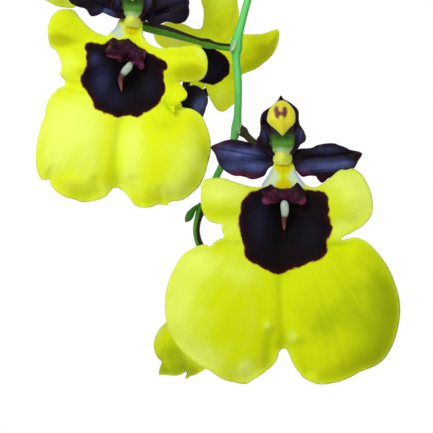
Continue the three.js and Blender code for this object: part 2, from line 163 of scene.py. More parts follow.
def outline_distance(places, ring):
    """How far each (x, z) place lies inside a closed ring of (x, z) points; negative outside it."""
    start = np.array(ring)
    step = np.roll(start, -1, axis=0) - start
    gap = places[:, None, :] - start[None, :, :]
    share = np.clip((gap * step).sum(2) / np.maximum((step**2).sum(1), 1e-9), 0, 1)
    away = np.hypot(*np.moveaxis(gap - share[:, :, None] * step, 2, 0)).min(1)
    above = gap[:, :, 1] >= 0
    crossing = above != np.roll(above, -1, axis=1)
    side = gap[:, :, 0] - step[:, 0] * gap[:, :, 1] / np.where(step[:, 1] == 0, 1e-9, step[:, 1])
    inside = ((crossing & (side < 0)).sum(1) % 2) == 1
    return np.where(inside, away, -away)


def ring_points(outline, count):
    """Points spaced evenly round a smooth closed outline of (x, z) pairs."""
    way = Way([(x, 0, z) for x, z in outline], closed=True)
    return [(p.x, p.z) for p in (way.at(i / count) for i in range(count))]


# ---- Shaping ----


def new_bmesh(*masks):
    """An empty bmesh whose points carry their place on the piece, and one value for each mask."""
    bm = bmesh.new()
    bm.verts.layers.float_vector.new("local")
    for mask in masks:
        bm.verts.layers.float.new(mask)
    return bm


def layers(bm, *masks):
    """The layer of a bmesh's places, and those of some of its masks."""
    return [bm.verts.layers.float_vector["local"], *(bm.verts.layers.float[mask] for mask in masks)]


def weld(bm):
    bmesh.ops.remove_doubles(bm, verts=bm.verts, dist=1e-5)
    bmesh.ops.dissolve_degenerate(bm, dist=1e-6, edges=bm.edges)
    bmesh.ops.recalc_face_normals(bm, faces=bm.faces)


def face_towards(bm, direction):
    """Turns an open sheet so that its front looks in a direction."""
    total = sum((f.normal * f.calc_area() for f in bm.faces), Vector())
    if total.dot(Vector(direction)) < 0:
        bmesh.ops.reverse_faces(bm, faces=bm.faces)


def turned(points, steps, *masks, axis=(0, 0, 1)):
    """A full turn about an axis of a line through (x, z) points."""
    bm = new_bmesh(*masks)
    line = [bm.verts.new((x, 0, z)) for x, z in points]
    edges = [bm.edges.new(pair) for pair in zip(line, line[1:])]
    bmesh.ops.spin(bm, geom=line + edges, cent=(0, 0, 0), axis=axis, angle=tau, steps=steps, use_merge=True)
    weld(bm)
    return bm


def sheet(outline, middle, rings, sectors, *masks):
    """A round sheet stretched from its middle to a closed outline of (x, z) pairs, in the XZ plane."""
    bm = turned([(i / rings, 0) for i in range(rings + 1)], sectors, *masks, axis=(0, 1, 0))
    edge = ring_points(outline, sectors)
    for v in bm.verts:
        share = hypot(v.co.x, v.co.z)
        sector = round(atan2(v.co.z, v.co.x) / tau * sectors) % sectors
        x, z = edge[sector]
        v.co = (middle[0] + share * (x - middle[0]), 0, middle[1] + share * (z - middle[1]))
    return bm


def cut_sheet(outline, cell, *masks):
    """An even flat sheet in the XZ plane, cut to a closed outline of (x, z) pairs of any shape."""
    bm = new_bmesh(*masks)
    ring = np.array(ring_points(outline, 1500))
    low, high = ring.min(0) - cell, ring.max(0) + cell
    across, up = (ceil(span / cell) for span in high - low)
    middle = (low + high) / 2
    place = Matrix.Translation((middle[0], 0, middle[1])) @ Matrix.Rotation(pi / 2, 4, "X")
    place = place @ Matrix.Diagonal((across * cell / 2, up * cell / 2, 1, 1))
    bmesh.ops.create_grid(bm, x_segments=across, y_segments=up, size=1, matrix=place)
    centres = np.array([(c.x, c.z) for c in (f.calc_center_median() for f in bm.faces)])
    away = outline_distance(centres, ring[::4])
    bmesh.ops.delete(bm, geom=[f for f, inside in zip(bm.faces, away) if inside < 0], context="FACES")
    for v in bm.verts:
        if v.is_boundary:
            nearest = ring[np.argmin(((ring - (v.co.x, v.co.z)) ** 2).sum(1))]
            v.co = (nearest[0], 0, nearest[1])
    inner = [v for v in bm.verts if not v.is_boundary]
    for _ in range(3):
        bmesh.ops.smooth_vert(bm, verts=inner, factor=0.5, use_axis_x=True, use_axis_z=True)
    return bm


def read_distance(bm, mask, outline):
    """Writes on each point how far inside an outline it lies."""
    layer = bm.verts.layers.float[mask]
    ring = ring_points(outline, 4 * len(outline) + 60)
    places = np.array([(v.co.x, v.co.z) for v in bm.verts])
    for v, away in zip(bm.verts, outline_distance(places, ring)):
        v[layer] = away


def shoot(way, radius, rings, sides, swell=None, *masks):
    """A closed round shoot along a way. radius is read from 0 to 1, and swell(t, turn) adds to it."""
    bm = new_bmesh("left", *masks)
    local, left = layers(bm, "left")
    bmesh.ops.create_grid(bm, x_segments=sides, y_segments=rings, size=1)
    heading = way.heading(0)
    side = heading.orthogonal().normalized()
    frames = []
    for i in range(rings + 1):
        t = min(1.0, max(0.0, (i - 1) / (rings - 2)))
        heading = way.heading(t)
        side = (side - heading * side.dot(heading)).normalized()
        frames.append((t, way.at(t), side.copy(), heading.cross(side)))
    for v in bm.verts:
        ring = round((v.co.y + 1) / 2 * rings)
        turn = (v.co.x + 1) * pi
        t, middle, side, other = frames[ring]
        reach = radius(t) + (swell(t, turn) if swell else 0.0)
        out = side * cos(turn) + other * sin(turn)
        v[local] = (sin(turn), t * way.length, cos(turn))
        v[left] = (1 - t) * way.length
        v.co = middle + out * (0.0 if ring in (0, rings) else reach)
    weld(bm)
    return bm


def blade(way, facing, half_width, lift, rings, across, *masks):
    """A flat blade bent along a way. facing is where its upper face looks, and lift(t, edge) raises it there."""
    bm = new_bmesh("left", *masks)
    local, left = layers(bm, "left")
    bmesh.ops.create_grid(bm, x_segments=across, y_segments=rings, size=1)
    level = Vector(facing).cross(way.at(1) - way.at(0)).normalized()
    for v in bm.verts:
        edge, t = v.co.x, (v.co.y + 1) / 2
        heading = way.heading(t)
        sideways = (level - heading * level.dot(heading)).normalized()
        up = heading.cross(sideways)
        half = half_width(t)
        v[local] = (edge * half, t * way.length, edge)
        v[left] = (1 - t) * way.length
        v.co = way.at(t) + sideways * (edge * half) + up * lift(t, edge)
    weld(bm)
    face_towards(bm, facing)
    return bm


def new_piece(bm, name, material=None):
    """Makes a bmesh a mesh object in the scene, at the origin."""
    mesh = bpy.data.meshes.new(name)
    bm.to_mesh(mesh)
    bm.free()
    if material:
        mesh.materials.append(material)
    piece = bpy.data.objects.new(name, mesh)
    bpy.context.scene.collection.objects.link(piece)
    return piece


def finish(bm, name, material, replaces=(), wall=0.0, rounds=0, place=Matrix()):
    """Puts a bmesh in millimetres in its place, and makes it an object in metres that rides with the plant."""
    if not bm.faces:
        raise RuntimeError(f"{name} came out with no faces")
    bmesh.ops.transform(bm, matrix=Matrix.Scale(MM, 4) @ place, verts=bm.verts)
    for face in bm.faces:
        face.smooth = True
    piece = new_piece(bm, name, material)
    if wall:
        solid = piece.modifiers.new("Thickness", "SOLIDIFY")
        solid.thickness = wall * MM
        solid.offset = -1
    if rounds:
        soft = piece.modifiers.new("Rounding", "SUBSURF")
        soft.levels = soft.render_levels = rounds
    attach(piece, BODY)
    if replaces:
        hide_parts(*replaces)
    return piece


# ---- Settings ----


def tint(code):
    """The linear colour of a #rrggbb code."""
    parts = [int(code[i : i + 2], 16) / 255 for i in (1, 3, 5)]
    return tuple(c / 12.92 if c <= 0.04045 else ((c + 0.055) / 1.055) ** 2.4 for c in parts)


def shaded(colour, share):
    """A colour made darker by a share below 1, or lighter by one above it."""
    return [min(1.0, channel * share) for channel in colour]


def colour(label, note, code):
    return FloatVectorProperty(
        name=label, description=note, subtype="COLOR", size=3, min=0.0, max=1.0, default=tint(code)
    )


def length(label, note, value, low, high):
    return FloatProperty(name=label, description=note, unit="LENGTH", default=value, min=low, max=high, precision=5)


def count(label, note, value, low, high):
    return IntProperty(name=label, description=note, default=value, min=low, max=high)


def power(label, note, value):
    return FloatProperty(name=label, description=note, default=value, min=0.0, subtype="POWER")


class OrchidPotSettings(bpy.types.PropertyGroup):
    """The clay pot and the bark in it."""

    clay: colour("Clay", "Fired clay of the pot", "#b5633f")
    clay_pale: colour("Clay bloom", "Pale mineral bloom on the clay", "#d9b49a")
    steps: count("Turning steps", "Sides round the turned pot", 144, 48, 288)
    hole_radius: length("Drain hole", "Radius of each drain hole", 0.004, 0.002, 0.006)
    bark: colour("Bark", "Weathered faces of the bark chips", "#6b4a33")
    bark_red: colour("Bark core", "Freshly broken faces of the bark chips", "#8f5636")
    chips: count("Chips", "How many bark chips lie on top", 360, 50, 800)
    chip_size: length("Chip size", "Length of a middling bark chip", 0.0075, 0.003, 0.012)


class OrchidPlantSettings(bpy.types.PropertyGroup):
    """Pseudobulbs, leaves, roots and stem."""

    leaf: colour("Leaf", "Upper side of a grown leaf", "#3f7d2c")
    leaf_pale: colour("Leaf veins", "Pale veins and midrib of a leaf", "#8db455")
    leaf_thickness: length("Leaf thickness", "Thickness of a leaf blade", 0.0009, 0.0004, 0.0014)
    bulb: colour("Pseudobulb", "Skin of the pseudobulbs", "#7c9c3c")
    bulb_ribs: count("Bulb ribs", "Shallow ribs round a pseudobulb", 9, 0, 16)
    husk: colour("Husk", "Dry sheaths and bracts", "#b79d6d")
    root: colour("Root", "Silvery skin of the roots", "#c9ccbd")
    stem: colour("Stem", "Flower stem", "#56cc4c")
    # The stem's pale side is a painted highlight.
    stem_painted_highlight: colour("Stem light side", "Pale waxy side of the stem", "#7ce080")
    stalk: colour("Stalk flush", "Dark flush on the flower stalks", "#2a140f")


class OrchidFlowerSettings(bpy.types.PropertyGroup):
    """The lips, petals and columns."""

    sheet_thickness: length("Sheet thickness", "Thickness of lips, petals and sepals", 0.00035, 0.0002, 0.0006)
    lip: colour("Lip", "Full yellow of the lip", "#cadb00")
    # The lip's pale yellow is partly its own paler lobes and partly a painted highlight; its deep yellow is painted
    # shade.
    lip_pale_and_highlight: colour("Lip highlight", "Pale yellow of the lip's lobes", "#dfef62")
    lip_painted_shade: colour("Lip shade", "Deep yellow of the lip's shaded side", "#a0b200")
    fringe: colour("Blotch fringe", "Thin red edge of the blotch", "#8c3a0c")
    blotch: colour("Blotch", "Velvet dark of the blotch", "#0e060b")
    blotch_rim: colour("Blotch rim", "Maroon rim of the blotch", "#2e0915")
    # The violet sheen is a painted highlight on petals and blotch.
    sheen: colour("Violet sheen", "Blue-violet sheen of petals and blotch", "#606eb4")
    petal: colour("Petal", "Dark ground of petals and sepals", "#140a12")
    petal_rim: colour("Petal rim", "Maroon margin of petals and sepals", "#3c0e1e")
    cap: colour("Anther cap", "Yellow of the anther cap", "#dfd81a")
    stigma: colour("Stigma", "Green hollow below the cap", "#4f8a22")


class OrchidStageSettings(bpy.types.PropertyGroup):
    """Floor, light and camera."""

    floor_radius: length("Floor radius", "Radius of the round floor", 0.7, 0.3, 0.8)
    floor: colour("Floor", "Plain pale floor", "#f6f5f2")
    key: power("Key light", "Power of the main lamp", 4.2)
    rim: power("Fill light", "Power of the fill lamp", 1.2)
    sky: FloatProperty(name="Sky", description="Strength of the even studio light", default=0.5, min=0.0, max=2.0)
    lens: FloatProperty(
        name="Lens", description="Focal length of the camera", default=151.4, min=20.0, subtype="DISTANCE_CAMERA"
    )
    reach: length("Camera distance", "From the camera to the front flower", 0.255, 0.1, 2.0)


# ---- Node trees ----


class Pen:
    """Draws a node tree: each call adds one node, and joins or sets what it is given."""

    def __init__(self, tree):
        self.tree = tree

    def add(self, kind, inputs=None, **settings):
        node = self.tree.nodes.new(kind)
        for key, value in settings.items():
            setattr(node, key, value)
        for key, value in (inputs or {}).items():
            self.give(node.inputs[key], value)
        return node

    def give(self, socket, value):
        if isinstance(value, bpy.types.NodeSocket):
            self.tree.links.new(value, socket)
        elif socket.type == "RGBA":
            socket.default_value = (*tuple(value)[:3], 1.0)
        else:
            socket.default_value = value

    def math(self, operation, *values):
        return self.add("ShaderNodeMath", dict(enumerate(values)), operation=operation).outputs[0]

    def vector(self, operation, *values):
        return self.add("ShaderNodeVectorMath", dict(enumerate(values)), operation=operation).outputs[0]

    def mix(self, share, a, b):
        node = self.add("ShaderNodeMix", {0: share}, data_type="RGBA")
        self.give(node.inputs[6], a)
        self.give(node.inputs[7], b)
        return node.outputs[2]

    def step(self, value, low, high, top=1.0):
        """A soft step from 0 at low to top at high."""
        inputs = {"Value": value, "From Min": low, "From Max": high, "To Min": 0.0, "To Max": top}
        return self.add("ShaderNodeMapRange", inputs, interpolation_type="SMOOTHSTEP").outputs["Result"]

    def attribute(self, name):
        return self.add("ShaderNodeAttribute", attribute_name=name)

    def mask(self, name):
        return self.attribute(name).outputs["Fac"]

    def place(self):
        """A point's own place on its piece, in millimetres."""
        return self.attribute("local").outputs["Vector"]

    def world(self):
        """Where a point is on the whole plant, in millimetres."""
        spot = self.add("ShaderNodeTexCoord").outputs["Object"]
        return self.add("ShaderNodeVectorMath", {0: spot, "Scale": 1 / MM}, operation="SCALE").outputs[0]

    def axes(self, vector):
        return self.add("ShaderNodeSeparateXYZ", {0: vector}).outputs

    def noise(self, vector, scale, detail=2.0, roughness=0.5):
        inputs = {"Vector": vector, "Scale": scale, "Detail": detail, "Roughness": roughness}
        return self.add("ShaderNodeTexNoise", inputs).outputs[0]

    def plus(self, a, b):
        return self.math("ADD", a, b)

    def times(self, a, b):
        return self.math("MULTIPLY", a, b)

    def madd(self, a, b, c):
        """a times b, plus c."""
        return self.math("MULTIPLY_ADD", a, b, c)

    def tinge(self, body, mask, colour, share):
        """A share of a colour over the body where the mask says."""
        return self.mix(self.times(mask, share), body, colour)

    def group(self, tree, **inputs):
        """A shared effect, with its inputs given by their names in small letters."""
        return self.add("ShaderNodeGroup", {k.title(): v for k, v in inputs.items()}, node_tree=tree).outputs

    def paint(self, base, roughness, height, relief):
        """Joins colour, roughness and bump to the material's surface. relief is the bump's depth in millimetres."""
        self.give(self.surface.inputs["Base Color"], base)
        self.give(self.surface.inputs["Roughness"], roughness)
        bump = self.add("ShaderNodeBump", {"Strength": 1.0, "Distance": relief * MM, "Height": height})
        self.give(self.surface.inputs["Normal"], bump.outputs[0])
        return self.material

    def patches(self, vector, scale, low, high):
        return self.group(mottling(), vector=vector, scale=scale, low=low, high=high)["Mask"]

    def lines(self, vector, spacing, length):
        return self.group(fibres(), vector=vector, spacing=spacing, length=length)["Mask"]

    def dots(self, vector, scale, size, share):
        return self.group(specks(), vector=vector, scale=scale, size=size, share=share)["Mask"]

    def freckle(self, body, vector, scale, size, share, colour, amount):
        """Scattered spots of a colour over the body."""
        return self.tinge(body, self.dots(vector, scale, size, share), colour, amount)

    def cells(self, vector, scale, swell):
        return self.group(fine_grain(), vector=vector, scale=scale, swell=swell)


def effect(name, draw, outputs, **numbers):
    """A node group that reads a place and some numbers, built once and shared by the materials."""
    if name in bpy.data.node_groups:
        return bpy.data.node_groups[name]
    tree = bpy.data.node_groups.new(name, "ShaderNodeTree")
    tree.interface.new_socket(name="Vector", in_out="INPUT", socket_type="NodeSocketVector")
    for label, value in numbers.items():
        socket = tree.interface.new_socket(name=label, in_out="INPUT", socket_type="NodeSocketFloat")
        socket.default_value = value
    for label in outputs:
        tree.interface.new_socket(name=label, in_out="OUTPUT", socket_type="NodeSocketFloat")
    pen = Pen(tree)
    given = pen.add("NodeGroupInput").outputs
    end = pen.add("NodeGroupOutput")
    for label, socket in draw(pen, given).items():
        tree.links.new(socket, end.inputs[label])
    return tree


def mottling():
    """Soft uneven patches, from 0 to 1."""

    def draw(pen, given):
        cloud = pen.noise(given["Vector"], given["Scale"], detail=4.0, roughness=0.55)
        return {"Mask": pen.step(cloud, given["Low"], given["High"])}

    return effect("Mottling", draw, ["Mask"], Scale=1.0, Low=0.35, High=0.65)


def fine_grain():
    """The small swollen cells of plant skin: a height, and a mask of the tops of the cells."""

    def draw(pen, given):
        inputs = {"Vector": given["Vector"], "Scale": given["Scale"], "Randomness": 0.9}
        cells = pen.add("ShaderNodeTexVoronoi", inputs, feature="SMOOTH_F1").outputs["Distance"]
        tops = pen.step(cells, 0.75, 0.1)
        swell = pen.noise(given["Vector"], pen.times(given["Scale"], 0.25), detail=3.0)
        height = pen.madd(tops, 0.45, pen.times(swell, given["Swell"]))
        return {"Height": height, "Tops": tops}

    return effect("Fine Grain", draw, ["Height", "Tops"], Scale=8.0, Swell=0.6)


def fibres():
    """Fine lines that run along Y: a mask from 0 between them to 1 on them."""

    def draw(pen, given):
        across, along, other = pen.axes(given["Vector"])[:3]
        thin = pen.math("DIVIDE", across, given["Spacing"])
        far = pen.math("DIVIDE", along, given["Length"])
        turn = pen.math("DIVIDE", other, given["Spacing"])
        spot = pen.add("ShaderNodeCombineXYZ", {0: thin, 1: far, 2: turn}).outputs[0]
        lines = pen.noise(spot, 1.0, detail=2.0, roughness=0.6)
        return {"Mask": pen.step(lines, 0.36, 0.64)}

    return effect("Fibres", draw, ["Mask"], Spacing=0.5, Length=12.0)


def specks():
    """Small scattered spots, 1 on each."""

    def draw(pen, given):
        inputs = {"Vector": given["Vector"], "Scale": given["Scale"]}
        cells = pen.add("ShaderNodeTexVoronoi", inputs)
        chosen = pen.math("LESS_THAN", pen.axes(cells.outputs["Color"])[0], given["Share"])
        spot = pen.step(cells.outputs["Distance"], given["Size"], pen.times(given["Size"], 0.5))
        return {"Mask": pen.times(spot, chosen)}

    return effect("Specks", draw, ["Mask"], Scale=2.0, Size=0.3, Share=0.4)


def new_material(name, **constants):
    """A pen for a material with one surface shader; constants are set on the shader's own sockets."""
    material = bpy.data.materials.new(name)
    material.use_nodes = True
    material.node_tree.nodes.clear()
    pen = Pen(material.node_tree)
    surface = pen.add("ShaderNodeBsdfPrincipled")
    for label, value in constants.items():
        pen.give(surface.inputs[label.replace("_", " ")], value)
    end = pen.add("ShaderNodeOutputMaterial")
    material.node_tree.links.new(surface.outputs[0], end.inputs["Surface"])
    pen.material, pen.surface = material, surface
    return pen


# ---- Plant and pot finishes ----


def clay_material(pot):
    """Fired terracotta with throwing lines, salt bloom below the rim and at the foot, and dark specks."""
    pen = new_material("Terracotta", Specular_IOR_Level=0.25)
    spot = pen.world()
    height = pen.axes(spot)[2]
    patches = pen.patches(spot, 0.045, 0.3, 0.7)
    body = pen.mix(patches, shaded(pot.clay, 0.82), shaded(pot.clay, 1.12))
    rings = pen.noise(pen.vector("MULTIPLY", spot, (0.02, 0.02, 1.0)), 0.9, detail=3.0)
    body = pen.mix(pen.step(rings, 0.42, 0.7, 0.3), body, shaded(pot.clay, 0.7))
    foot = pen.step(height, 15.0, 2.0)
    collar = pen.times(pen.step(height, 51.0, 61.0), pen.step(height, 64.5, 62.5))
    lip = pen.step(height, 76.0, 79.5, 0.7)
    damp = pen.math("MAXIMUM", pen.math("MAXIMUM", foot, collar), lip)
    salt = pen.patches(spot, 0.16, 0.44, 0.66)
    salt = pen.times(salt, pen.madd(damp, 0.62, 0.13))
    body = pen.mix(salt, body, pot.clay_pale)
    body = pen.freckle(body, spot, 0.9, 0.22, 0.3, tint("#5b2d1c"), 0.5)
    grit = pen.cells(spot, 3.0, 1.0)["Height"]
    relief = pen.madd(rings, 0.8, pen.times(grit, 0.35))
    rough_face = pen.madd(salt, 0.12, 0.8)
    return pen.paint(body, rough_face, relief, 0.35)


def bark_material(pot):
    """Fir bark: each chip has its own tone, long fissures and a paler broken core."""
    pen = new_material("Fir Bark", Specular_IOR_Level=0.2)
    grain = pen.place()
    tone = pen.mask("tone")
    splits = pen.lines(grain, 0.7, 5.0)
    flakes = pen.patches(grain, 0.35, 0.35, 0.7)
    body = pen.mix(tone, shaded(pot.bark, 0.55), pot.bark_red)
    body = pen.tinge(body, flakes, pot.bark, 0.6)
    body = pen.tinge(body, splits, tint("#2b1a11"), 0.55)
    body = pen.freckle(body, pen.world(), 1.3, 0.3, 0.2, tint("#b49a7c"), 0.35)
    relief = pen.madd(splits, -0.8, pen.times(flakes, 0.7))
    return pen.paint(body, 0.92, relief, 0.4)


def husk_material(plant, name, base, green, worn):
    """Papery tissue with long fibres, greener at its foot, and browned as far as it is worn."""
    pen = new_material(name, Specular_IOR_Level=0.3)
    spot = pen.place()
    along = pen.axes(spot)[1]
    lines = pen.lines(spot, 0.4, 9.0)
    patches = pen.patches(pen.world(), 0.22, 0.35, 0.7)
    body = pen.mix(lines, shaded(base, 0.85 - 0.23 * worn), base)
    body = pen.tinge(body, patches, tint("#7a5c38"), 0.5 * worn)
    body = pen.mix(pen.step(along, 5.0, 0.0, green), body, plant.stem)
    body = pen.freckle(body, pen.world(), 1.1, 0.25, 0.25, tint("#4f3820"), 0.5 * worn)
    return pen.paint(body, pen.madd(lines, -0.15, 0.75), lines, 0.12)


def leaf_material(plant):
    """Leathery leaf: long parallel veins, a pale keel, darker mottling and a dry tip."""
    pen = new_material("Orchid Leaf", Coat_Weight=0.12, Coat_Roughness=0.35)
    spot = pen.place()
    across, along, edge = pen.axes(spot)[:3]
    wide = pen.math("ABSOLUTE", across)
    veins = pen.lines(pen.vector("MULTIPLY", spot, (1, 1, 0)), 0.55, 60.0)
    patches = pen.patches(pen.world(), 0.06, 0.3, 0.7)
    body = pen.mix(patches, shaded(plant.leaf, 0.62), plant.leaf)
    body = pen.tinge(body, veins, plant.leaf_pale, 0.26)
    keel = pen.step(wide, 0.7, 0.12)
    body = pen.tinge(body, keel, plant.leaf_pale, 0.5)
    margin = pen.step(pen.math("ABSOLUTE", edge), 0.9, 1.0)
    body = pen.tinge(body, margin, plant.leaf_pale, 0.4)
    foot = pen.step(along, 16.0, 2.0)
    body = pen.tinge(body, foot, plant.leaf_pale, 0.65)
    dry = pen.step(pen.madd(pen.noise(spot, 0.5), -6.0, pen.mask("left")), 0.5, -1.5)
    body = pen.mix(dry, body, tint("#8a6a3c"))
    body = pen.freckle(body, spot, 0.5, 0.22, 0.16, tint("#5c4a22"), 0.35)
    cells = pen.cells(spot, 5.0, 0.7)["Height"]
    relief = pen.madd(veins, 0.7, pen.times(cells, 0.3))
    relief = pen.madd(keel, -1.4, relief)
    return pen.paint(body, pen.madd(patches, 0.12, 0.36), relief, 0.1)


def bulb_material(plant):
    """Waxy pseudobulb skin: fine upright lines, yellow mottling, and a brown scarred foot."""
    pen = new_material("Pseudobulb Skin", Coat_Weight=0.1, Coat_Roughness=0.4)
    spot = pen.place()
    height = pen.axes(spot)[1]
    lines = pen.lines(pen.vector("MULTIPLY", spot, (6, 1, 6)), 0.5, 30.0)
    patches = pen.patches(pen.world(), 0.11, 0.3, 0.72)
    body = pen.mix(patches, shaded(plant.bulb, 0.68), plant.bulb)
    body = pen.tinge(body, lines, tint("#a9b85c"), 0.25)
    body = pen.mix(pen.step(height, 20.0, 37.0, 0.5), body, plant.leaf)
    scar = pen.step(pen.madd(pen.noise(spot, 0.9, detail=3.0), 4.0, height), 6.5, 2.6)
    body = pen.mix(scar, body, tint("#6e5230"))
    body = pen.freckle(body, pen.world(), 0.75, 0.24, 0.22, tint("#4c4a1e"), 0.4)
    relief = pen.madd(lines, 0.5, pen.times(scar, 0.5))
    return pen.paint(body, pen.madd(scar, 0.3, 0.42), relief, 0.18)


def root_material(plant):
    """Silvery spongy root skin, cracked and pitted, with a green growing tip."""
    pen = new_material("Root Skin", Specular_IOR_Level=0.3)
    spot = pen.place()
    patches = pen.patches(pen.world(), 0.5, 0.35, 0.7)
    lines = pen.lines(spot, 0.25, 5.0)
    body = pen.mix(patches, plant.root, shaded(plant.root, 0.6))
    body = pen.tinge(body, lines, tint("#8f8a6a"), 0.35)
    body = pen.mix(pen.step(pen.mask("left"), 4.0, 0.5), body, tint("#88a848"))
    body = pen.freckle(body, pen.world(), 1.5, 0.3, 0.2, tint("#6a5138"), 0.5)
    return pen.paint(body, 0.82, pen.math("SUBTRACT", lines, patches), 0.12)


def rhizome_material(plant):
    """Brown scaly rhizome with rings of old sheath scars."""
    pen = new_material("Rhizome Skin", Specular_IOR_Level=0.25)
    spot = pen.place()
    along = pen.axes(spot)[1]
    wobble = pen.noise(spot, 0.8, detail=3.0)
    scars = pen.math("PINGPONG", pen.madd(wobble, 1.2, along), 2.0)
    scars = pen.step(scars, 0.55, 0.0)
    patches = pen.patches(pen.world(), 0.3, 0.35, 0.7)
    body = pen.mix(patches, tint("#6f5a35"), tint("#8b8048"))
    body = pen.mix(scars, body, tint("#3d2a1a"))
    lines = pen.lines(spot, 0.35, 8.0)
    body = pen.tinge(body, lines, plant.husk, 0.3)
    return pen.paint(body, 0.78, pen.math("SUBTRACT", lines, scars), 0.25)


def stem_material(name, base, pale, flush, flushed):
    """Smooth stem skin: fine lengthwise lines, a pale side painted as a highlight, and a dark flush where masked.
    """
    pen = new_material(name, Specular_IOR_Level=0.2)
    spot = pen.place()
    lines = pen.lines(pen.vector("MULTIPLY", spot, (0.6, 1, 0.6)), 0.16, 9.0)
    patches = pen.patches(pen.world(), 0.35, 0.3, 0.72)
    body = pen.mix(patches, base, shaded(base, 0.8))
    # Painted highlight: paler on the side that faces the camera and key lamp.
    body = pen.mix(pen.times(pen.mask("pale"), 0.75), body, pale)
    body = pen.tinge(body, lines, pale, 0.16)
    cloud = pen.madd(pen.noise(spot, 1.6, detail=3.0), 0.6, -0.3)
    dark = pen.step(pen.plus(pen.mask("flush"), cloud), 0.3, 0.7, flushed)
    body = pen.mix(dark, body, flush)
    cells = pen.cells(pen.world(), 9.0, 0.5)["Height"]
    relief = pen.madd(lines, 0.5, pen.times(cells, 0.4))
    return pen.paint(body, pen.madd(lines, 0.1, 0.38), relief, 0.03)


# ---- Flower finishes ----


def lip_material(flowers, name, full, pale, shade):
    """Satin yellow lip with painted light and shade, and a velvet blotch with a painted violet sheen, a scalloped
    maroon rim and a thin red fringe.
    """
    pen = new_material(name, Specular_IOR_Level=0.05, Specular_Tint=tint("#fff6c8"))
    spot = pen.place()
    ray = pen.attribute("rays").outputs["Vector"]
    # tone paints light and shade: above 0 a paler painted highlight, below 0 the painted shade yellow, below -1 a
    # deeper painted shade; cloud and rays add the lip's own uneven tone.
    tone = pen.mask("tone")
    cloud = pen.noise(spot, 0.3, detail=3.0)
    tone = pen.plus(tone, pen.madd(cloud, 0.7, -0.35))
    rays = pen.lines(ray, 0.07, 16.0)
    tone = pen.madd(rays, 0.1, tone)
    body = pen.mix(pen.step(tone, 0.0, 1.0), full, pale)
    body = pen.mix(pen.step(tone, 0.0, -1.0), body, shade)
    body = pen.mix(pen.step(tone, -1.0, -2.0), body, shaded(shade, 0.55))
    rim = pen.mask("rim")
    # Painted highlight: paler within 0.7 mm of the margin.
    body = pen.mix(pen.step(rim, 0.7, 0.0, 0.3), body, pale)
    claw = pen.mix(pen.step(rim, 0.7, 0.1), tint("#c4d9b2"), tint("#aab9c2"))
    body = pen.mix(pen.mask("mint"), body, claw)
    body = pen.mix(pen.mask("gold"), body, tint("#cec200"))
    cell = pen.cells(spot, 5.5, 0.8)
    body = pen.mix(pen.times(cell["Tops"], 0.05), body, pale)
    scallop = pen.madd(pen.noise(spot, 0.62, detail=1.0), 0.9, -0.45)
    nibble = pen.madd(pen.noise(spot, 2.4, detail=1.0), 0.22, -0.11)
    inside = pen.plus(pen.mask("blotch"), pen.plus(scallop, nibble))
    body = pen.mix(pen.step(inside, -0.22, 0.02, 0.65), body, flowers.fringe)
    folds = pen.lines(ray, 0.14, 9.0)
    # Painted sheen: a violet highlight painted over the blotch where the sheen spots are and faintly all over,
    # stronger on the folds.
    haze = pen.patches(spot, 0.45, 0.35, 0.75)
    velvet = pen.madd(haze, 0.004, pen.mask("glow"))
    velvet = pen.times(velvet, pen.madd(folds, 0.35, 0.65))
    ground = pen.mix(pen.step(inside, 2.0, 4.6, 0.85), flowers.blotch, tint("#060305"))
    dark = pen.mix(velvet, ground, flowers.sheen)
    dark = pen.mix(pen.step(inside, 0.9, 0.1, 0.75), dark, flowers.blotch_rim)
    body = pen.mix(pen.step(inside, -0.1, 0.12), body, dark)
    pleats = pen.times(folds, pen.step(inside, 0.0, 0.6))
    relief = pen.madd(pleats, 0.9, pen.times(cell["Height"], 0.5))
    relief = pen.madd(rays, 0.25, relief)
    dull = pen.madd(pen.step(inside, -0.1, 0.3), 0.1, 0.5)
    return pen.paint(body, dull, relief, 0.05)


def tepal_material(flowers):
    """Dark waxy petal: a painted violet sheen beside a near-black midrib with painted shade in its crease, fine
    veins and a maroon margin.
    """
    pen = new_material("Petal", Specular_IOR_Level=0.08)
    spot = pen.place()
    across = pen.axes(spot)[0]
    wide = pen.math("ABSOLUTE", across)
    veins = pen.lines(spot, 0.3, 7.0)
    haze = pen.patches(spot, 0.35, 0.3, 0.72)
    # Painted sheen: violet painted over the dark ground where the tone mask says, broken by haze and veins.
    glow = pen.times(pen.mask("tone"), pen.madd(haze, 0.5, 0.6))
    glow = pen.times(glow, pen.madd(veins, 0.3, 0.75))
    body = pen.mix(glow, flowers.petal, flowers.sheen)
    # Painted shade: near-black along the midrib crease.
    groove = pen.step(pen.madd(pen.noise(spot, 1.2), 0.3, wide), 0.42, 0.2)
    body = pen.tinge(body, groove, tint("#07040a"), 0.6)
    body = pen.mix(pen.step(pen.mask("rim"), 0.32, 0.02, 0.5), body, flowers.petal_rim)
    body = pen.mix(pen.mask("blush"), body, tint("#682040"))
    cells = pen.cells(spot, 6.0, 0.6)["Height"]
    relief = pen.madd(veins, 0.7, pen.times(cells, 0.4))
    return pen.paint(body, pen.madd(haze, 0.12, 0.36), relief, 0.06)


def crest_material():
    """Plum warts of the crest with pink-violet lower edges."""
    pen = new_material("Crest", Specular_IOR_Level=0.12)
    spot = pen.place()
    haze = pen.patches(spot, 1.1, 0.35, 0.7)
    body = pen.mix(haze, tint("#1e0413"), tint("#3a0d28"))
    body = pen.mix(pen.mask("tone"), body, tint("#7a3058"))
    cells = pen.cells(spot, 7.0, 1.0)["Height"]
    return pen.paint(body, 0.4, pen.plus(cells, haze), 0.06)


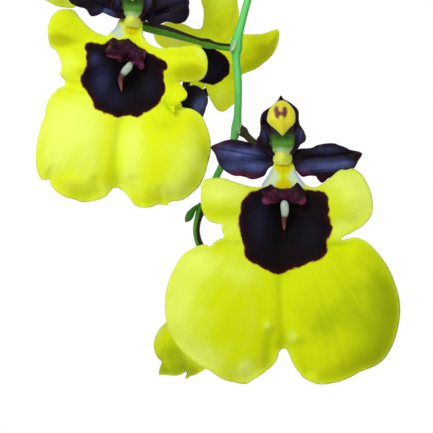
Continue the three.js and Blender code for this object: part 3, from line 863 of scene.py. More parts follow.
def tooth_material():
    """The crest's middle tooth: greenish white with painted shade at its top under the crest, then a brown-red tip.
    """
    pen = new_material("Crest Tooth", Coat_Weight=0.2, Coat_Roughness=0.25)
    spot = pen.place()
    along = pen.axes(spot)[1]
    haze = pen.patches(pen.world(), 1.6, 0.3, 0.7)
    body = pen.mix(haze, tint("#b2c1b0"), tint("#98ab96"))
    # Painted shade: greyer and darker at the tooth's top, where the crest overhangs it.
    body = pen.mix(pen.step(along, 0.9, 0.2), body, tint("#5d4a5c"))
    body = pen.mix(pen.step(along, 2.1, 2.7), body, tint("#4a1016"))
    body = pen.mix(pen.step(along, 3.4, 4.3), body, tint("#7c3a34"))
    cells = pen.cells(pen.world(), 7.0, 0.8)["Height"]
    return pen.paint(body, 0.36, cells, 0.03)


def column_material(flowers):
    """Column: a speckled pale foot, a mint throat, a green stigma darkened by painted shade in the hollow under the
    cap, and painted shade on the flanks.
    """
    pen = new_material("Column", Specular_IOR_Level=0.2)
    spot = pen.place()
    height = pen.axes(spot)[2]
    wide = pen.math("ABSOLUTE", pen.axes(spot)[0])
    haze = pen.patches(spot, 0.7, 0.3, 0.7)
    uneven = pen.madd(haze, 0.3, height)
    body = pen.mix(haze, tint("#e4ec62"), tint("#d2dc44"))
    body = pen.mix(pen.step(uneven, 0.9, 1.5), body, tint("#a6c78c"))
    body = pen.mix(pen.step(uneven, 1.4, 2.2), body, flowers.stigma)
    # Painted shade from here: deeper green and then near-black maroon high in the hollow under the cap, and dark
    # olive on the flanks.
    body = pen.mix(pen.step(uneven, 2.4, 3.5), body, tint("#2c5413"))
    body = pen.mix(pen.step(wide, 1.2, 1.7, 0.7), body, tint("#3a3a1c"))
    body = pen.mix(pen.step(uneven, 3.5, 4.1), body, tint("#26101c"))
    dots = pen.dots(spot, 1.9, 0.34, 0.45)
    low = pen.times(pen.step(height, 1.9, 1.0), pen.step(height, -0.4, 0.2))
    spots = pen.times(pen.times(low, pen.step(wide, 0.5, 1.0)), dots)
    body = pen.mix(spots, body, tint("#6b2414"))
    cells = pen.cells(spot, 7.0, 0.8)["Height"]
    return pen.paint(body, 0.45, cells, 0.03)


def cap_material(flowers):
    """Anther cap: waxy yellow with a pale rim, a soft two-lobed maroon mark and a small painted pinkish highlight.
    """
    pen = new_material("Anther Cap", Specular_IOR_Level=0.25)
    spot = pen.place()
    haze = pen.patches(spot, 0.8, 0.3, 0.7)
    body = pen.mix(haze, flowers.cap, shaded(flowers.cap, 0.86))
    body = pen.mix(pen.step(pen.mask("rim"), 0.4, 0.05, 0.8), body, tint("#d2dc5a"))
    blur = pen.madd(pen.noise(spot, 1.8, detail=3.0), 0.9, -0.45)
    mark = pen.step(pen.plus(pen.mask("mark"), blur), 0.15, 0.95, 0.94)
    body = pen.mix(mark, body, tint("#66102c"))
    # Painted highlight: a pinkish spot at the top of the mark.
    body = pen.mix(pen.mask("glint"), body, tint("#d99a86"))
    cells = pen.cells(spot, 7.0, 0.8)["Height"]
    return pen.paint(body, 0.36, cells, 0.03)


def floor_material(stage):
    """Matt pale floor with a barely uneven surface."""
    pen = new_material("Studio Floor", Specular_IOR_Level=0.2)
    cloud = pen.patches(pen.world(), 0.01, 0.3, 0.7)
    body = pen.mix(cloud, stage.floor, shaded(stage.floor, 0.97))
    return pen.paint(body, 0.85, cloud, 0.02)


# ---- Where the plant grows ----

DRAIN_COUNT, DRAIN_RING = 4, 16
DRILL_DEPTH = 30
SHARP_EDGE, EDGE_ROUNDING = 38, 0.55  # in degrees and millimetres
BARK_TOP, MOUND_HEIGHT, MOUND_REACH = 71.0, 4.0, 40
CHIP_FIELD, CHIP_SEED = 38.6, 7
CHIP_SIZES = (0.55, 0.7, 0.85, 1.0, 1.0, 1.25)  # shares of the middling size
BULB_CLEARANCE = 9.5

BULBS = [
    {"x": -19, "y": -5, "size": 1, "lean": 7, "turn": 12}, {"x": -1, "y": -1, "size": 1.06, "lean": 0, "turn": -8},
    {"x": 16.5, "y": 3.5, "size": 0.95, "lean": -7, "turn": 10},
    {"x": 31, "y": 8, "size": 0.66, "lean": -13, "turn": 0},
]
BULB_HEIGHT, BULB_WIDTH, BULB_DEPTH = 38, 17, 13
BULB_FOOT = 75.9
BULB_SHAPE = profile(0, 0.36, 0.46, 0.5, 0.49, 0.455, 0.4, 0.335, 0.265, 0.19, 0.12)

# Bulb, side, reach to the tip in x and y, rise, how far the blade bows over, and its share of full width.
LEAVES = [
    (0, -1, (-14, -26), 94, 0.5, 0.95), (0, 1, (-8, 30), 104, 0.6, 1), (1, -1, (16, -46), 70, 1.3, 1.06),
    (1, 1, (22, 30), 106, 0.8, 1), (2, -1, (62, -22), 40, 1.9, 1), (2, 1, (52, 34), 66, 1.5, 0.95),
]
LEAF_WIDTH = 17
LEAF_SHAPE = profile(0.24, 0.5, 0.82, 0.97, 1, 0.96, 0.85, 0.62, 0.33, 0)

# Bulb, angle round it in degrees, height, and how far the sheath stands off.
SHEATHS = [(0, 192, 27, 5.1), (1, -92, 22, 1)]

RHIZOME = [(-27, -7, 72.6), (-19, -5, 72.6), (-1, -1, 72.6), (16.5, 3.5, 72.6), (33, 9, 72.1)]
ROOTS = [
    (
        1.3,
        [
            (-8, -6.6, 73.6), (-10, -14, 75.8), (-14, -25, 76.4), (-16.6, -34.2, 80.3), (-18.4, -39.6, 82.2),
            (-19.8, -44.2, 81.8), (-20.8, -46.4, 77), (-21.4, -45.6, 68), (-22, -44.2, 58),
        ],
    ),
    (1.2, [(9.5, -3.4, 73.4), (12, -9, 75.2), (20, -17, 74.3), (24, -27, 73.2), (14, -34, 72.6)]),
]

STEM = [
    (-29.6, -8.2, 76.6), (-31.2, -8.6, 88), (-34.8, -8.2, 110), (-41, -4, 145), (-50, 2, 178), (-61, 7, 199),
    (-73, 10.5, 207.5), (-81.6, 12, 204), (-85.4, 12.4, 193), (-86.9, 12.6, 182), (-88.1, 12.5, 177.2),
    (-89.1, 12.4, 173), (-88.8, 12.3, 167), (-89.05, 12.2, 161.3), (-89.6, 12.1, 158.9), (-91.3, 12, 155.3),
    (-92.6, 11.9, 152.6), (-93.9, 11.8, 149.6),
]
STEM_RADIUS = profile(1, 0.94, 0.88, 0.81, 0.74, 0.67, 0.6, 0.54, 0.53, 0.56, 0.48)
STEM_NODES = [0.14, 0.36, 0.57, 0.774, 0.806, 0.885, 0.941]

# Name, share of the stem's length, side it stands on, length and half width.
BRACTS = [
    ("stem_bract_low", 0.14, (-0.6, -0.8, 0), 11, 1.7), ("stem_bract_high", 0.36, (0.7, -0.7, 0), 10, 1.5),
    ("left_flower_bract", 0.8805, (-0.5, -0.85, 0), 1.7, 0.55),
    ("right_flower_bract", 0.938, (0.4, -0.9, 0), 1.5, 0.5),
]
TIP_BUD = [
    (-93.9, 11.8, 149.6), (-94.5, 11.6, 149.6), (-95.1, 11.4, 149.3), (-95.65, 11.2, 148.6), (-96.1, 11, 147.8),
    (-96.5, 10.8, 147.25),
]

# ---- How the flowers are shaped ----
# All in a flower's own millimetres: x to its right, z up from where lip and column meet, -y towards the viewer.
# Soft spots are (x, z, reach in x, reach in z, amount); furrows are (x, z, x, z, width, depth).
# A lip's spots of tone paint light and shade: positive amounts paint it paler, partly its own paler lobes and
# partly painted highlight, and negative amounts are painted shade. Its sheen spots paint a violet sheen on the
# blotch.

WIDE_LIP = {
    "mint": [(-1.9, -2.5, 1.3, 1.6, 1.3), (2.1, -2.6, 1.3, 1.6, 1.3)],
    "glow": [(-3.4, -8.4, 1.6, 3.2, 0.045), (3.8, -10.4, 1.8, 2.4, 0.02)], "middle": (0, -10.9),
    "outline": [
        (1.5, -0.2), (1.75, -1.2), (2.4, -2.4), (3.3, -3.5), (4.5, -3.8), (6.6, -2.5), (8, -1.4), (9.7, -1.1),
        (10.9, -1.8), (11.9, -3.5), (12.5, -5.9), (12.3, -7.7), (11.1, -9.2), (9.4, -10.2), (8.2, -10.8),
        (8, -11.15), (8.5, -11.3), (9.7, -10.8), (11.3, -11.2), (12.9, -12.6), (14.6, -14.8), (15.8, -17.6),
        (16.4, -20.3), (16.2, -23.1), (15.4, -25.9), (14, -28.1), (12.6, -29), (10.8, -29.7), (9.4, -30.5),
        (7.4, -31.2), (4.9, -31.4), (2.9, -30.4), (1.5, -28.7), (0.7, -26.9), (0.2, -26.3), (-0.5, -26.9),
        (-0.9, -28.1), (-2.3, -29.5), (-4.2, -30.8), (-5.2, -31.4), (-6.7, -31.2), (-8.4, -30.7), (-10.4, -29.4),
        (-12.2, -28.4), (-14.4, -26.5), (-16, -23.9), (-16.5, -21.4), (-16.4, -18.5), (-15.5, -15.7),
        (-14.1, -13.4), (-12.5, -12.3), (-10.9, -11.8), (-10.2, -12.1), (-9.6, -11.5), (-8.7, -11.2), (-8.3, -10.6),
        (-8.6, -9.7), (-8.5, -9.1), (-9.5, -8.8), (-10.6, -8.3), (-11.3, -7), (-11.5, -4.9), (-11.1, -2.9),
        (-9.8, -2.5), (-8.5, -2.5), (-6, -3.3), (-4.2, -3.75), (-3, -3.7), (-2.5, -2.8), (-1.85, -1.7),
        (-1.25, -0.6), (-1.05, 0.5), (1.2, 0.5),
    ],
    "blotch": [
        (-5, -4.9), (-2.8, -3.9), (0.5, -3.9), (3.2, -4), (5.5, -4.6), (6.3, -5.6), (6.2, -7.4), (6.9, -9.4),
        (6.2, -11), (6, -12.6), (4.9, -14), (2.4, -14.7), (-0.3, -15.8), (-2.9, -15.1), (-5.4, -13.2),
        (-5.6, -11.9), (-6.1, -9.8), (-6.1, -7.7), (-5.7, -6),
    ],
    "bulges": [
        (-8.3, -20, 7.6, 8.2, 2.6), (8.3, -20, 7.6, 8.2, 2.6), (-8.4, -5.6, 3.4, 3.2, 1),
        (8.9, -5.4, 3.6, 3.8, 1.1), (-2.1, -23.1, 0.6, 0.7, 0.3), (1.4, -25, 0.7, 0.8, 0.35),
        (0, -8.6, 2.2, 3.4, -0.7),
    ],
    "furrows": [
        (0, -16.4, 0.2, -26, 0.9, 0.85), (-8.6, -11.8, -6.1, -12.1, 0.6, 0.55), (9, -12, 6.4, -12.3, 0.6, 0.6),
        (-1.7, -24.2, -2.1, -28.6, 0.7, 0.75), (2.8, -25.8, 3.7, -29.6, 0.8, 0.75),
        (-10.6, -7.7, -6.4, -8.1, 0.9, 0.3), (7, -9.4, 10.2, -8.6, 0.9, 0.25),
    ],
    "tones_and_painted_light": [
        (-8.6, -4.2, 3.6, 2, 0.9), (9.4, -3.2, 3.4, 2.4, 1), (11, -7, 2.4, 3, 0.6), (-7.4, -9.6, 2, 1.8, 0.5),
        (7.9, -9.4, 1.6, 1.6, 0.7), (-14.8, -20, 3.4, 7, 0.7), (-11.6, -14.2, 4.6, 2, 0.6),
        (-11.8, -27.6, 3.2, 2.4, 0.7), (-5.4, -30, 3, 1.6, 0.5), (-6, -15.8, 3, 1.4, 0.45),
        (-2.1, -23.1, 0.7, 0.7, 0.6), (1.3, -24.7, 0.9, 1, 0.7), (14.5, -21, 4.6, 8, -1),
        (11.5, -28.6, 4.4, 3.2, -0.45), (5, -20, 5, 6, -0.15), (5.2, -23, 3, 3, -0.35), (-5.2, -28.6, 1, 0.8, 0.6),
        (7, -20, 5, 6, -0.25),
    ],
    "gold": [(0.1, -0.95, 1.3, 1.05, 1), (0.15, -3.35, 1.35, 0.75, 1)], "crimp": 1,
}

TALL_LIP = {
    "mint": [(-2.2, -1, 0.9, 1, 1.2), (-1.9, -1.9, 0.9, 0.6, 0.8), (1.9, -1.2, 0.5, 0.8, 0.7)],
    "glow": [
        (-5.2, -6.2, 0.9, 1, 0.2), (-3.8, -9.4, 1.5, 2, 0.14), (-1.6, -12, 1.8, 1.4, 0.05),
        (3.6, -9.8, 1.4, 1.6, 0.035),
    ],
    "middle": (0, -10.2),
    "outline": [
        (1.3, 0.9), (1.6, -0.7), (2.1, -2.3), (3.3, -3.2), (4.6, -3.6), (6.2, -3.3), (8.3, -3), (10.1, -2.7),
        (11.3, -3.5), (11.9, -4.7), (12, -6.6), (11.6, -7.6), (10.4, -8.4), (9.1, -8.5), (7.8, -8.7), (7.8, -9.8),
        (8.2, -11), (8.7, -12.3), (10.1, -12.5), (11.6, -13.3), (12.5, -14.7), (13.2, -16.5), (13.5, -18.4),
        (13.2, -20.7), (12.4, -23.7), (11.2, -25.2), (9.7, -26.4), (8, -26.8), (7.3, -27.4), (6.2, -27.3),
        (5.2, -27.8), (3.7, -28), (2.4, -27.5), (1.4, -26.4), (0.5, -25.6), (-0.8, -25.3), (-1.2, -25.8),
        (-2, -26.8), (-3.8, -27.6), (-5.5, -27.9), (-6.6, -27.6), (-8.1, -27.3), (-9.6, -26.5), (-10.4, -25.6),
        (-10.8, -24.8), (-11.4, -25), (-12.1, -24.7), (-12.7, -23.5), (-13, -21.7), (-13, -19.8), (-12.6, -17),
        (-12.1, -15.1), (-12, -13.8), (-11.4, -12.3), (-10.4, -11.1), (-9.6, -10.7), (-9.4, -10.2), (-9.5, -9.6),
        (-10.2, -8.8), (-10, -7.8), (-10.4, -6.4), (-11, -5.4), (-12.3, -4), (-12.7, -2.4), (-12.7, -0.9),
        (-12.2, 0.6), (-11.1, 1.4), (-9.9, 1.6), (-9, 1.3), (-8.1, 0.3), (-6.7, -1), (-5.2, -1.9), (-3.6, -2.2),
        (-3.3, -1.7), (-2.6, -1), (-1.9, 0.7),
    ],
    "blotch": [
        (-6.6, -3.7), (-5.9, -3.5), (-4.2, -3.6), (-3.4, -3.1), (-0.9, -2.8), (0.1, -2.9), (2.1, -4), (3.8, -4.7),
        (5.1, -5.4), (6, -6.4), (5.3, -7.2), (5.7, -8.7), (5.8, -10.2), (5.2, -11.7), (4.2, -13), (2.8, -13.9),
        (1.4, -14.4), (0.4, -14.2), (-0.7, -14.6), (-2.4, -14.3), (-4.1, -13.7), (-4.8, -12.8), (-5.7, -11.5),
        (-6.6, -10.3), (-7, -9.3), (-6.6, -8.2), (-6.3, -6.7), (-6.4, -5.4), (-6.8, -4.4),
    ],
    "bulges": [
        (-6.8, -19, 6.4, 6.6, 2.2), (6.8, -19, 6.4, 6.8, 2.3), (-10, -1.6, 3.2, 2.4, 1),
        (-8.4, -7.4, 2.6, 2.2, 0.8), (9.6, -5.6, 3.2, 2.6, 1.1), (-6.4, -7.2, 1.4, 1, 0.5), (0.4, -8, 2.4, 3, -0.8),
        (-6.5, -25, 2.4, 1.2, 0.5),
    ],
    "furrows": [
        (-0.2, -15.4, -0.6, -25, 0.9, 0.9), (-12.4, -3.4, -6.8, -4.4, 0.9, 0.6), (-10, -9.6, -7.6, -10.4, 0.5, 0.5),
        (-9.6, -11.2, -6.6, -12, 0.6, 0.6), (8.4, -12.2, 5.2, -12.4, 0.5, 0.5),
        (-6.8, -8.6, -4.6, -9.2, 0.45, 0.35), (-3.6, -24.4, -2.6, -27, 0.6, 0.5), (2.2, -24, 3.2, -27.4, 0.7, 0.4),
        (6.4, -25, 6.8, -27.2, 0.5, 0.4), (-10.2, -21.6, -10.6, -25, 0.6, 0.4),
    ],
    "tones_and_painted_light": [
        (-7.6, -15.6, 4.4, 3.4, 0.9), (-9.6, -20.6, 3.4, 5, 0.7), (-4.4, -21.6, 3, 4.2, 0.6),
        (-11.4, 0, 1.6, 1.8, 0.5), (-9, -7, 1.8, 1.8, 0.5), (1.6, -20, 2, 5.6, 0.8), (9.6, -20.6, 3, 5, 0.6),
        (5.8, -15.4, 3.4, 1.6, -0.45), (-10.6, -3.6, 2.6, 0.9, -0.9), (9.4, -6.8, 2.4, 1, -0.35),
        (10.8, -4.2, 1.2, 1.4, 0.7), (6.6, -21, 2.6, 4, -0.1), (-11, -1, 3, 4, -0.6), (9.6, -7.6, 4, 1.6, -0.9),
        (-4, -22, 5, 4, -0.25), (10, -5, 2.6, 2, -0.3), (-1, -26, 3, 1.5, 0.35), (8, -25, 3, 1.6, 0.35),
    ],
    "gold": [(0, -0.9, 1.3, 1.1, 1)], "crimp": 1.6,
}

BACK_LIP = {
    "mint": [(0, -2.5, 2.2, 1.6, 1.3)], "glow": [(0, -12, 3, 3, 0.05)], "middle": (1.5, -16.5),
    "outline": [
        (-1.3, -7.4), (-2.8, -6.1), (-4.3, -4.9), (-5.9, -4.1), (-7.7, -3.5), (-9.2, -3.9), (-10.1, -5.8),
        (-10.7, -7.7), (-10.3, -10), (-9.3, -12.2), (-8.7, -14.1), (-8.8, -15.5), (-11.3, -18.9), (-12.5, -21.6),
        (-13.4, -24.2), (-13.6, -26.1), (-13.4, -28.1), (-12.9, -29.9), (-12.1, -31.4), (-11.2, -31.8),
        (-10.2, -30.8), (-8, -28.3), (-6.5, -27.2), (-4.9, -26.2), (-3.5, -25.5), (-1.8, -25.4), (-0.9, -27.1),
        (0.6, -30), (1.9, -31.5), (3.8, -33.9), (6.3, -35.3), (9.2, -34.7), (11.2, -32.5), (11.9, -29.5),
        (11.4, -27.3), (9.7, -25.4), (8.2, -22.8), (7.6, -20.6), (9.2, -19.5), (11.4, -19.3), (13.4, -18.8),
        (15.5, -18), (16.9, -16.5), (18, -14.6), (18, -12.4), (16.3, -10.7), (13.4, -10.4), (9.8, -11.2), (7, -11),
        (5.6, -9.6), (3, -7), (2.2, -3), (1.4, 0.4), (-1.4, 0.4), (-1.6, -3),
    ],
    "blotch": [
        (5.5, -14.2), (4.3, -16.5), (1.6, -17.5), (-1.4, -17.4), (-2.7, -16.9), (-4.1, -16.1), (-4.9, -14.7),
        (-5.2, -13.3), (-4.6, -11.3), (-3.3, -9.2), (-1.7, -8.3), (0.2, -7.6), (2.6, -8.2), (4.5, -9.6), (5.9, -12),
    ],
    "bulges": [
        (-8.4, -23.6, 4.6, 5.4, 2), (5.6, -27.6, 5, 6, 2.2), (-6.8, -8, 3, 3.2, 1), (12.6, -15, 3.4, 2.6, 1),
        (0.4, -12, 3, 3, -0.6),
    ],
    "furrows": [(-0.4, -18.6, -1.6, -25.2, 0.9, 0.8), (-8.6, -15, -5.4, -15.6, 0.7, 0.6)],
    "tones_and_painted_light": [
        (-9.7, -23.5, 5, 8, -1.5), (8, -31, 3.4, 4.6, 0.4), (3.4, -23, 3, 4, -0.5), (12.9, -13.7, 4, 3, 0.6),
        (-6.7, -7, 3, 2.6, 0.35), (-5, -12.9, 2.6, 2, -0.5),
    ],
    "gold": [(0.1, -1, 1.3, 1, 1)], "crimp": 0.8,
}

LOW_LIP = {
    "mint": [(0, -2.5, 2.6, 1.6, 1.3)], "glow": [(0, -9, 3, 3, 0.05)], "middle": (0, -11.2),
    "outline": [
        (1.8, -0.2), (2.3, -2.4), (4.5, -3.8), (7.4, -2), (10.4, -1.8), (12.2, -5), (11.1, -9.2), (8.4, -11),
        (10.8, -11.6), (13, -14.6), (12.9, -17.8), (11.4, -21.2), (9.9, -23.6), (9.1, -24.5), (8.2, -25.6),
        (6.8, -27.5), (6.2, -25.6), (3.4, -29.2), (-1, -32.6), (-3.2, -34.2), (-4, -32.8), (-4.6, -30.4),
        (-6.4, -30.4), (-8.4, -29.6), (-10.4, -27.8), (-11, -24.9), (-10.7, -21.9), (-9.6, -18.7), (-8.8, -15.4),
        (-9.4, -12.4), (-8.4, -10.4), (-10.8, -8.2), (-11.4, -5), (-10, -2.5), (-6, -3.3), (-3, -3.7), (-2.1, -1.3),
        (-1.2, 0.5), (1.2, 0.5),
    ],
    "blotch": WIDE_LIP["blotch"],
    "bulges": [
        (-6.6, -22.6, 4.4, 5.4, 2.2), (7, -19, 5.6, 5.6, 2.2), (-8.4, -5.6, 3.4, 3.2, 1),
        (8.9, -5.4, 3.6, 3.8, 1.1),
    ],
    "furrows": [
        (-4.6, -29.8, 3, -23.4, 1.3, 0.25), (6.2, -25.4, 5.6, -21, 0.8, 0.3), (0, -16.4, 0.4, -23, 0.9, 0.4),
    ],
    "tones_and_painted_light": [
        (-8.4, -22, 3, 4.6, 0.6), (-9.6, -25, 2, 3, 0.3), (-3.4, -31.4, 3.6, 2.2, -1), (4.5, -25, 9, 6, -1.35),
    ],
    "gold": WIDE_LIP["gold"], "crimp": 0.35,
}

# The raised crest on each lip: its outline and its warts.
PAIRED_CREST = {
    "tooth": [(0.1, -1.3, -5.75), (0.15, -2.1, -6.3), (0.2, -2, -7.3), (0.1, -1.6, -8.4), (0.15, -1.2, -9.8)],
    "middle": (0.05, -5.1),
    "outline": [
        (-2.85, -4.332), (-2.35, -3.918), (-1.95, -3.826), (-1.62, -3.596), (-1.35, -4.01), (-0.7, -4.24),
        (0.1, -4.286), (0.9, -4.148), (1.5, -3.964), (2, -3.366), (2.3, -3.826), (2.8, -4.516), (3, -5.252),
        (3, -5.896), (2.6, -6.126), (1.9, -5.988), (1.2, -6.034), (0.7, -5.85), (0.2, -5.804), (-0.4, -5.85),
        (-1, -5.988), (-1.7, -5.942), (-2.3, -6.126), (-2.8, -5.942), (-2.75, -5.16),
    ],
    "bulges": [
        (-1.8, -5.16, 0.85, 0.8, 0.75), (1.9, -5.16, 0.85, 0.8, 0.75), (-1.6, -4.056, 0.4, 0.5, 0.4),
        (2, -3.872, 0.4, 0.5, 0.4), (0.05, -4.976, 0.6, 0.7, 0.25), (-2.5, -5.804, 0.35, 0.3, 0.35),
        (2.7, -5.804, 0.35, 0.3, 0.35),
    ],
    "blush": [
        (-2.2, -5.758, 0.6, 0.32, 1.1), (2.45, -5.758, 0.55, 0.36, 1.1), (-1.35, -4.884, 0.28, 0.5, 0.6),
        (1.3, -5.16, 0.3, 0.4, 0.5),
    ],
}
RUFFLED_CREST = {
    "tooth": [
        (0.3, -1.3, -6.2), (0.2, -2.1, -6.9), (-0.4, -2, -7.7), (-0.95, -1.6, -8.8), (-0.85, -1.4, -9.7),
        (-0.65, -1.2, -10.7),
    ],
    "middle": (-0.5, -4.6),
    "outline": [
        (-3.2, -3), (-3.1, -3.7), (-3.75, -4.8), (-3.3, -5.5), (-2.6, -5.75), (-1.9, -5.8), (-1.6, -6.1),
        (-1.1, -6.35), (-0.5, -5.9), (0.1, -5.8), (0.5, -6.25), (1, -6.3), (1.5, -6.9), (2.1, -7.2), (2.5, -6.7),
        (2.35, -5.9), (2.55, -5.2), (2.5, -4.1), (1.6, -3.9), (0.9, -3.3), (0.2, -2.9), (-0.3, -2.45), (-0.8, -2.6),
        (-1.4, -2.9), (-2, -2.75), (-2.6, -2.5),
    ],
    "bulges": [
        (-2.2, -4.4, 1, 1, 0.8), (1.4, -5.2, 1, 1.2, 0.85), (-0.4, -4, 0.8, 0.8, 0.45),
        (-0.4, -5.5, 0.5, 0.5, -0.3), (2, -6.7, 0.5, 0.45, 0.5), (-3.3, -5, 0.4, 0.4, 0.4),
    ],
    "blush": [
        (-2.6, -5.55, 1.2, 0.22, 1), (1, -6.2, 0.9, 0.3, 1), (2.2, -6.8, 0.45, 0.5, 1.1),
        (2.4, -4.6, 0.25, 0.7, 0.9), (-3.2, -3.6, 0.25, 0.8, 0.6), (0.6, -4.8, 0.5, 0.7, 0.4),
    ],
}

# Petals and sepals: outline, middle, the midrib's two ends, how the sheet stands in y, and its painted sheen.
LEVEL_PETALS = {
    "left_petal": {
        "middle": (-5.8, 0.3), "rib": ((-1.2, 0.2), (-10, 1.9)),
        "outline": [
            (-1.2, 1), (-1.96, 1.6), (-2.7, 2), (-4.4, 2.45), (-6.3, 2.9), (-7.4, 2.95), (-8.9, 2.5),
            (-10.05, 1.85), (-9.5, 0.85), (-9.03, -0.4), (-8.06, -1.5), (-6.8, -2.15), (-5.9, -2.2), (-5.2, -2.35),
            (-4.3, -2.65), (-3.2, -2.45), (-2.45, -2.05), (-2, -1.2), (-1.3, -0.6),
        ],
        "tones_and_painted_light": [
            (-5.43, 0.9, 2, 0.75, 1), (-8.1, 1.3, 1.2, 0.9, 0.55), (-3.8, -0.9, 1.6, 0.7, 0.8),
            (-7, -0.9, 1.8, 0.8, 0.6),
        ],
        "blush": [
            (-3.8, -2.4, 1.4, 0.35, 0.9), (-6.5, -1.84, 1.2, 0.4, 0.6), (-3.6, -0.7, 1.2, 0.4, 0.35),
            (-8.8, 1.9, 1.2, 0.7, 0.35), (-5.2, -1.9, 2.4, 0.6, 0.5),
        ],
        "groove": [(-5.43, 0.3, -2.2, -0.23, 0.35, 0.5)],
    },
    "right_petal": {
        "middle": (6.2, 0.1), "rib": ((1.2, 0.2), (11.1, 0.95)),
        "outline": [
            (1.2, 0.9), (2.4, 1.55), (3.8, 1.65), (5.26, 2.12), (6.9, 2.3), (8.1, 2.1), (9.4, 1.55), (11.15, 0.95),
            (10.65, -0.05), (10.1, -0.95), (8.6, -1.35), (7.3, -2.1), (6.4, -2.35), (5.7, -2.95), (5.2, -2.5),
            (4.8, -2.15), (3.8, -2), (2.9, -2.15), (2.3, -1.6), (1.5, -0.4),
        ],
        "tones_and_painted_light": [
            (6.1, 1.5, 2.2, 0.35, 0.2), (6.36, -0.75, 2.6, 0.55, 0.75), (8.5, -0.37, 1.4, 0.4, 0.5),
            (3.1, -1.2, 0.8, 0.5, 0.35),
        ],
        "blush": [(3.1, -1.3, 0.9, 0.6, 0.5), (5.6, -2.4, 1, 0.5, 0.35)],
        "groove": [(3, 0.35, 9.4, 1.1, 0.5, 0.55)],
    },
}
RAISED_PETALS = {
    "left_petal": {
        "middle": (-6.4, 3.2), "rib": ((-1.2, 0.8), (-10.9, 4.6)),
        "outline": [
            (-1.2, 1.6), (-1.5, 0.7), (-2.5, 0.65), (-3.5, 0.9), (-4.8, 1.3), (-6.2, 0.7), (-7.2, 1.7), (-8.9, 2.1),
            (-9.8, 2.7), (-10.9, 4.6), (-10.2, 5.7), (-8.8, 6.3), (-6.6, 6.3), (-4.4, 5.4), (-2.8, 4), (-1.8, 2.7),
        ],
        "tones_and_painted_light": [(-3.4, 1.4, 1.6, 0.6, 0.55), (-7, 4.6, 2.4, 0.9, 0.4)], "blush": [(-2, 1, 0.6, 0.5, 0.3)],
        "groove": [(-2.2, 1.5, -8.4, 3.9, 0.45, 0.4)],
    },
    "right_petal": {
        "middle": (5.6, 2.6), "rib": ((1.2, 0.8), (10.2, 4.8)),
        "outline": [
            (1.2, 2), (1.2, 0.5), (2, 0.84), (2.87, -0.15), (4.1, 0.16), (5.3, 0.68), (6.8, 0.47), (7.9, 0.9),
            (8.35, 1.4), (8.45, 2.6), (8.4, 4.2), (7.9, 5.6), (6.6, 6.4), (4.6, 5.8), (2.8, 4.4), (1.9, 3),
        ],
        "tones_and_painted_light": [(4.6, 1.4, 2.4, 0.6, 0.08), (6.4, 4.2, 2.4, 0.8, 0.1)], "blush": [],
        "groove": [(2.2, 1.3, 8, 3.9, 0.45, 0.4)],
    },
}
TURNED_PETAL = {
    "forward": 4.6, "middle": (-1, -2.2), "rib": ((2.5, 1), (2.7, -5)),
    "outline": [
        (1.2, 1.6), (2.8, 1.1), (3.4, -1.2), (3.6, -3.6), (2.6, -5), (1.5, -5.6), (-0.6, -5.8), (-2.4, -5.4),
        (-3.7, -4.4), (-4.6, -2.4), (-5.4, 0.6), (-5.2, 1.4), (-3.4, 1.6), (-1, 1.8),
    ],
    "tones_and_painted_light": [(-1.8, -2, 1.5, 2.2, 1.3)], "blush": [], "groove": [],
}
HOOD = {
    "middle": (-0.3, 4.6), "rib": ((0, 0.9), (-0.24, 9.1)),
    "outline": [
        (0, 0.7), (-1.6, 0.9), (-2.7, 1.8), (-3.3, 3.1), (-3.1, 4.4), (-3.15, 5.7), (-2.85, 6.7), (-1.5, 7.75),
        (-0.65, 8.5), (-0.24, 9.2), (0.15, 8.7), (1.3, 8.05), (2.25, 7.1), (2.35, 5.8), (2.55, 4.7), (2.9, 3.6),
        (2.4, 1.9), (1.5, 0.9),
    ],
    "tones_and_painted_light": [(1.9, 5.9, 0.35, 0.8, 0.55), (-2.2, 3.4, 0.5, 1.2, 0.35), (-2.4, 6.2, 0.5, 0.6, 0.25)],
    "blush": [(-2.9, 2.2, 0.5, 0.8, 0.3)], "groove": [(0, 1.6, -0.2, 8.4, 0.35, 0.3)],
}
WINGS = {
    "left": [
        (-1.1, 4.5), (-2, 4.9), (-2.9, 4.6), (-3.1, 3.8), (-3.65, 2.6), (-3.4, 1.9), (-2.5, 1.4), (-1.5, 0.6),
        (-1, 0.9), (-1.5, 1.9), (-1.5, 3.4),
    ],
    "right": [
        (1.3, 4.4), (1.9, 5.3), (2.55, 4.75), (3, 3.9), (3.25, 3.2), (3.1, 2.6), (2.5, 2.2), (2.1, 1.6), (1.6, 0.8),
        (1.1, 0.8), (1.6, 2), (1.5, 3.4),
    ],
}
CAP_MARK = {
    "left": [(-0.94, 6.95, 0.34, 0.46, 1), (-0.86, 6.2, 0.3, 0.46, 0.9)],
    "right": [(0.24, 6.95, 0.32, 0.46, 1), (0.18, 6.25, 0.28, 0.46, 0.9)],
}
CAP_OUTLINE = [
    (-0.25, 8.35), (-1.2, 7.9), (-1.85, 7.2), (-2.15, 6.3), (-2.25, 5.5), (-1.9, 4.95), (-1.2, 4.35), (-0.6, 3.8),
    (-0.1, 3.35), (0.35, 3.8), (0.95, 4.5), (1.5, 5), (1.7, 5.6), (1.6, 6.8), (0.95, 7.75), (0.4, 8.2),
]
TORN_FLAP = [
    (7.1, -8.8), (7.8, -8.6), (8.3, -9), (8.8, -9.6), (9.25, -10.3), (9.1, -11.1), (8.2, -11.7), (7.7, -12.3),
    (7.45, -13.5), (6.9, -12.9), (6.2, -12.3), (6.1, -11.6), (6.8, -10.6),
]

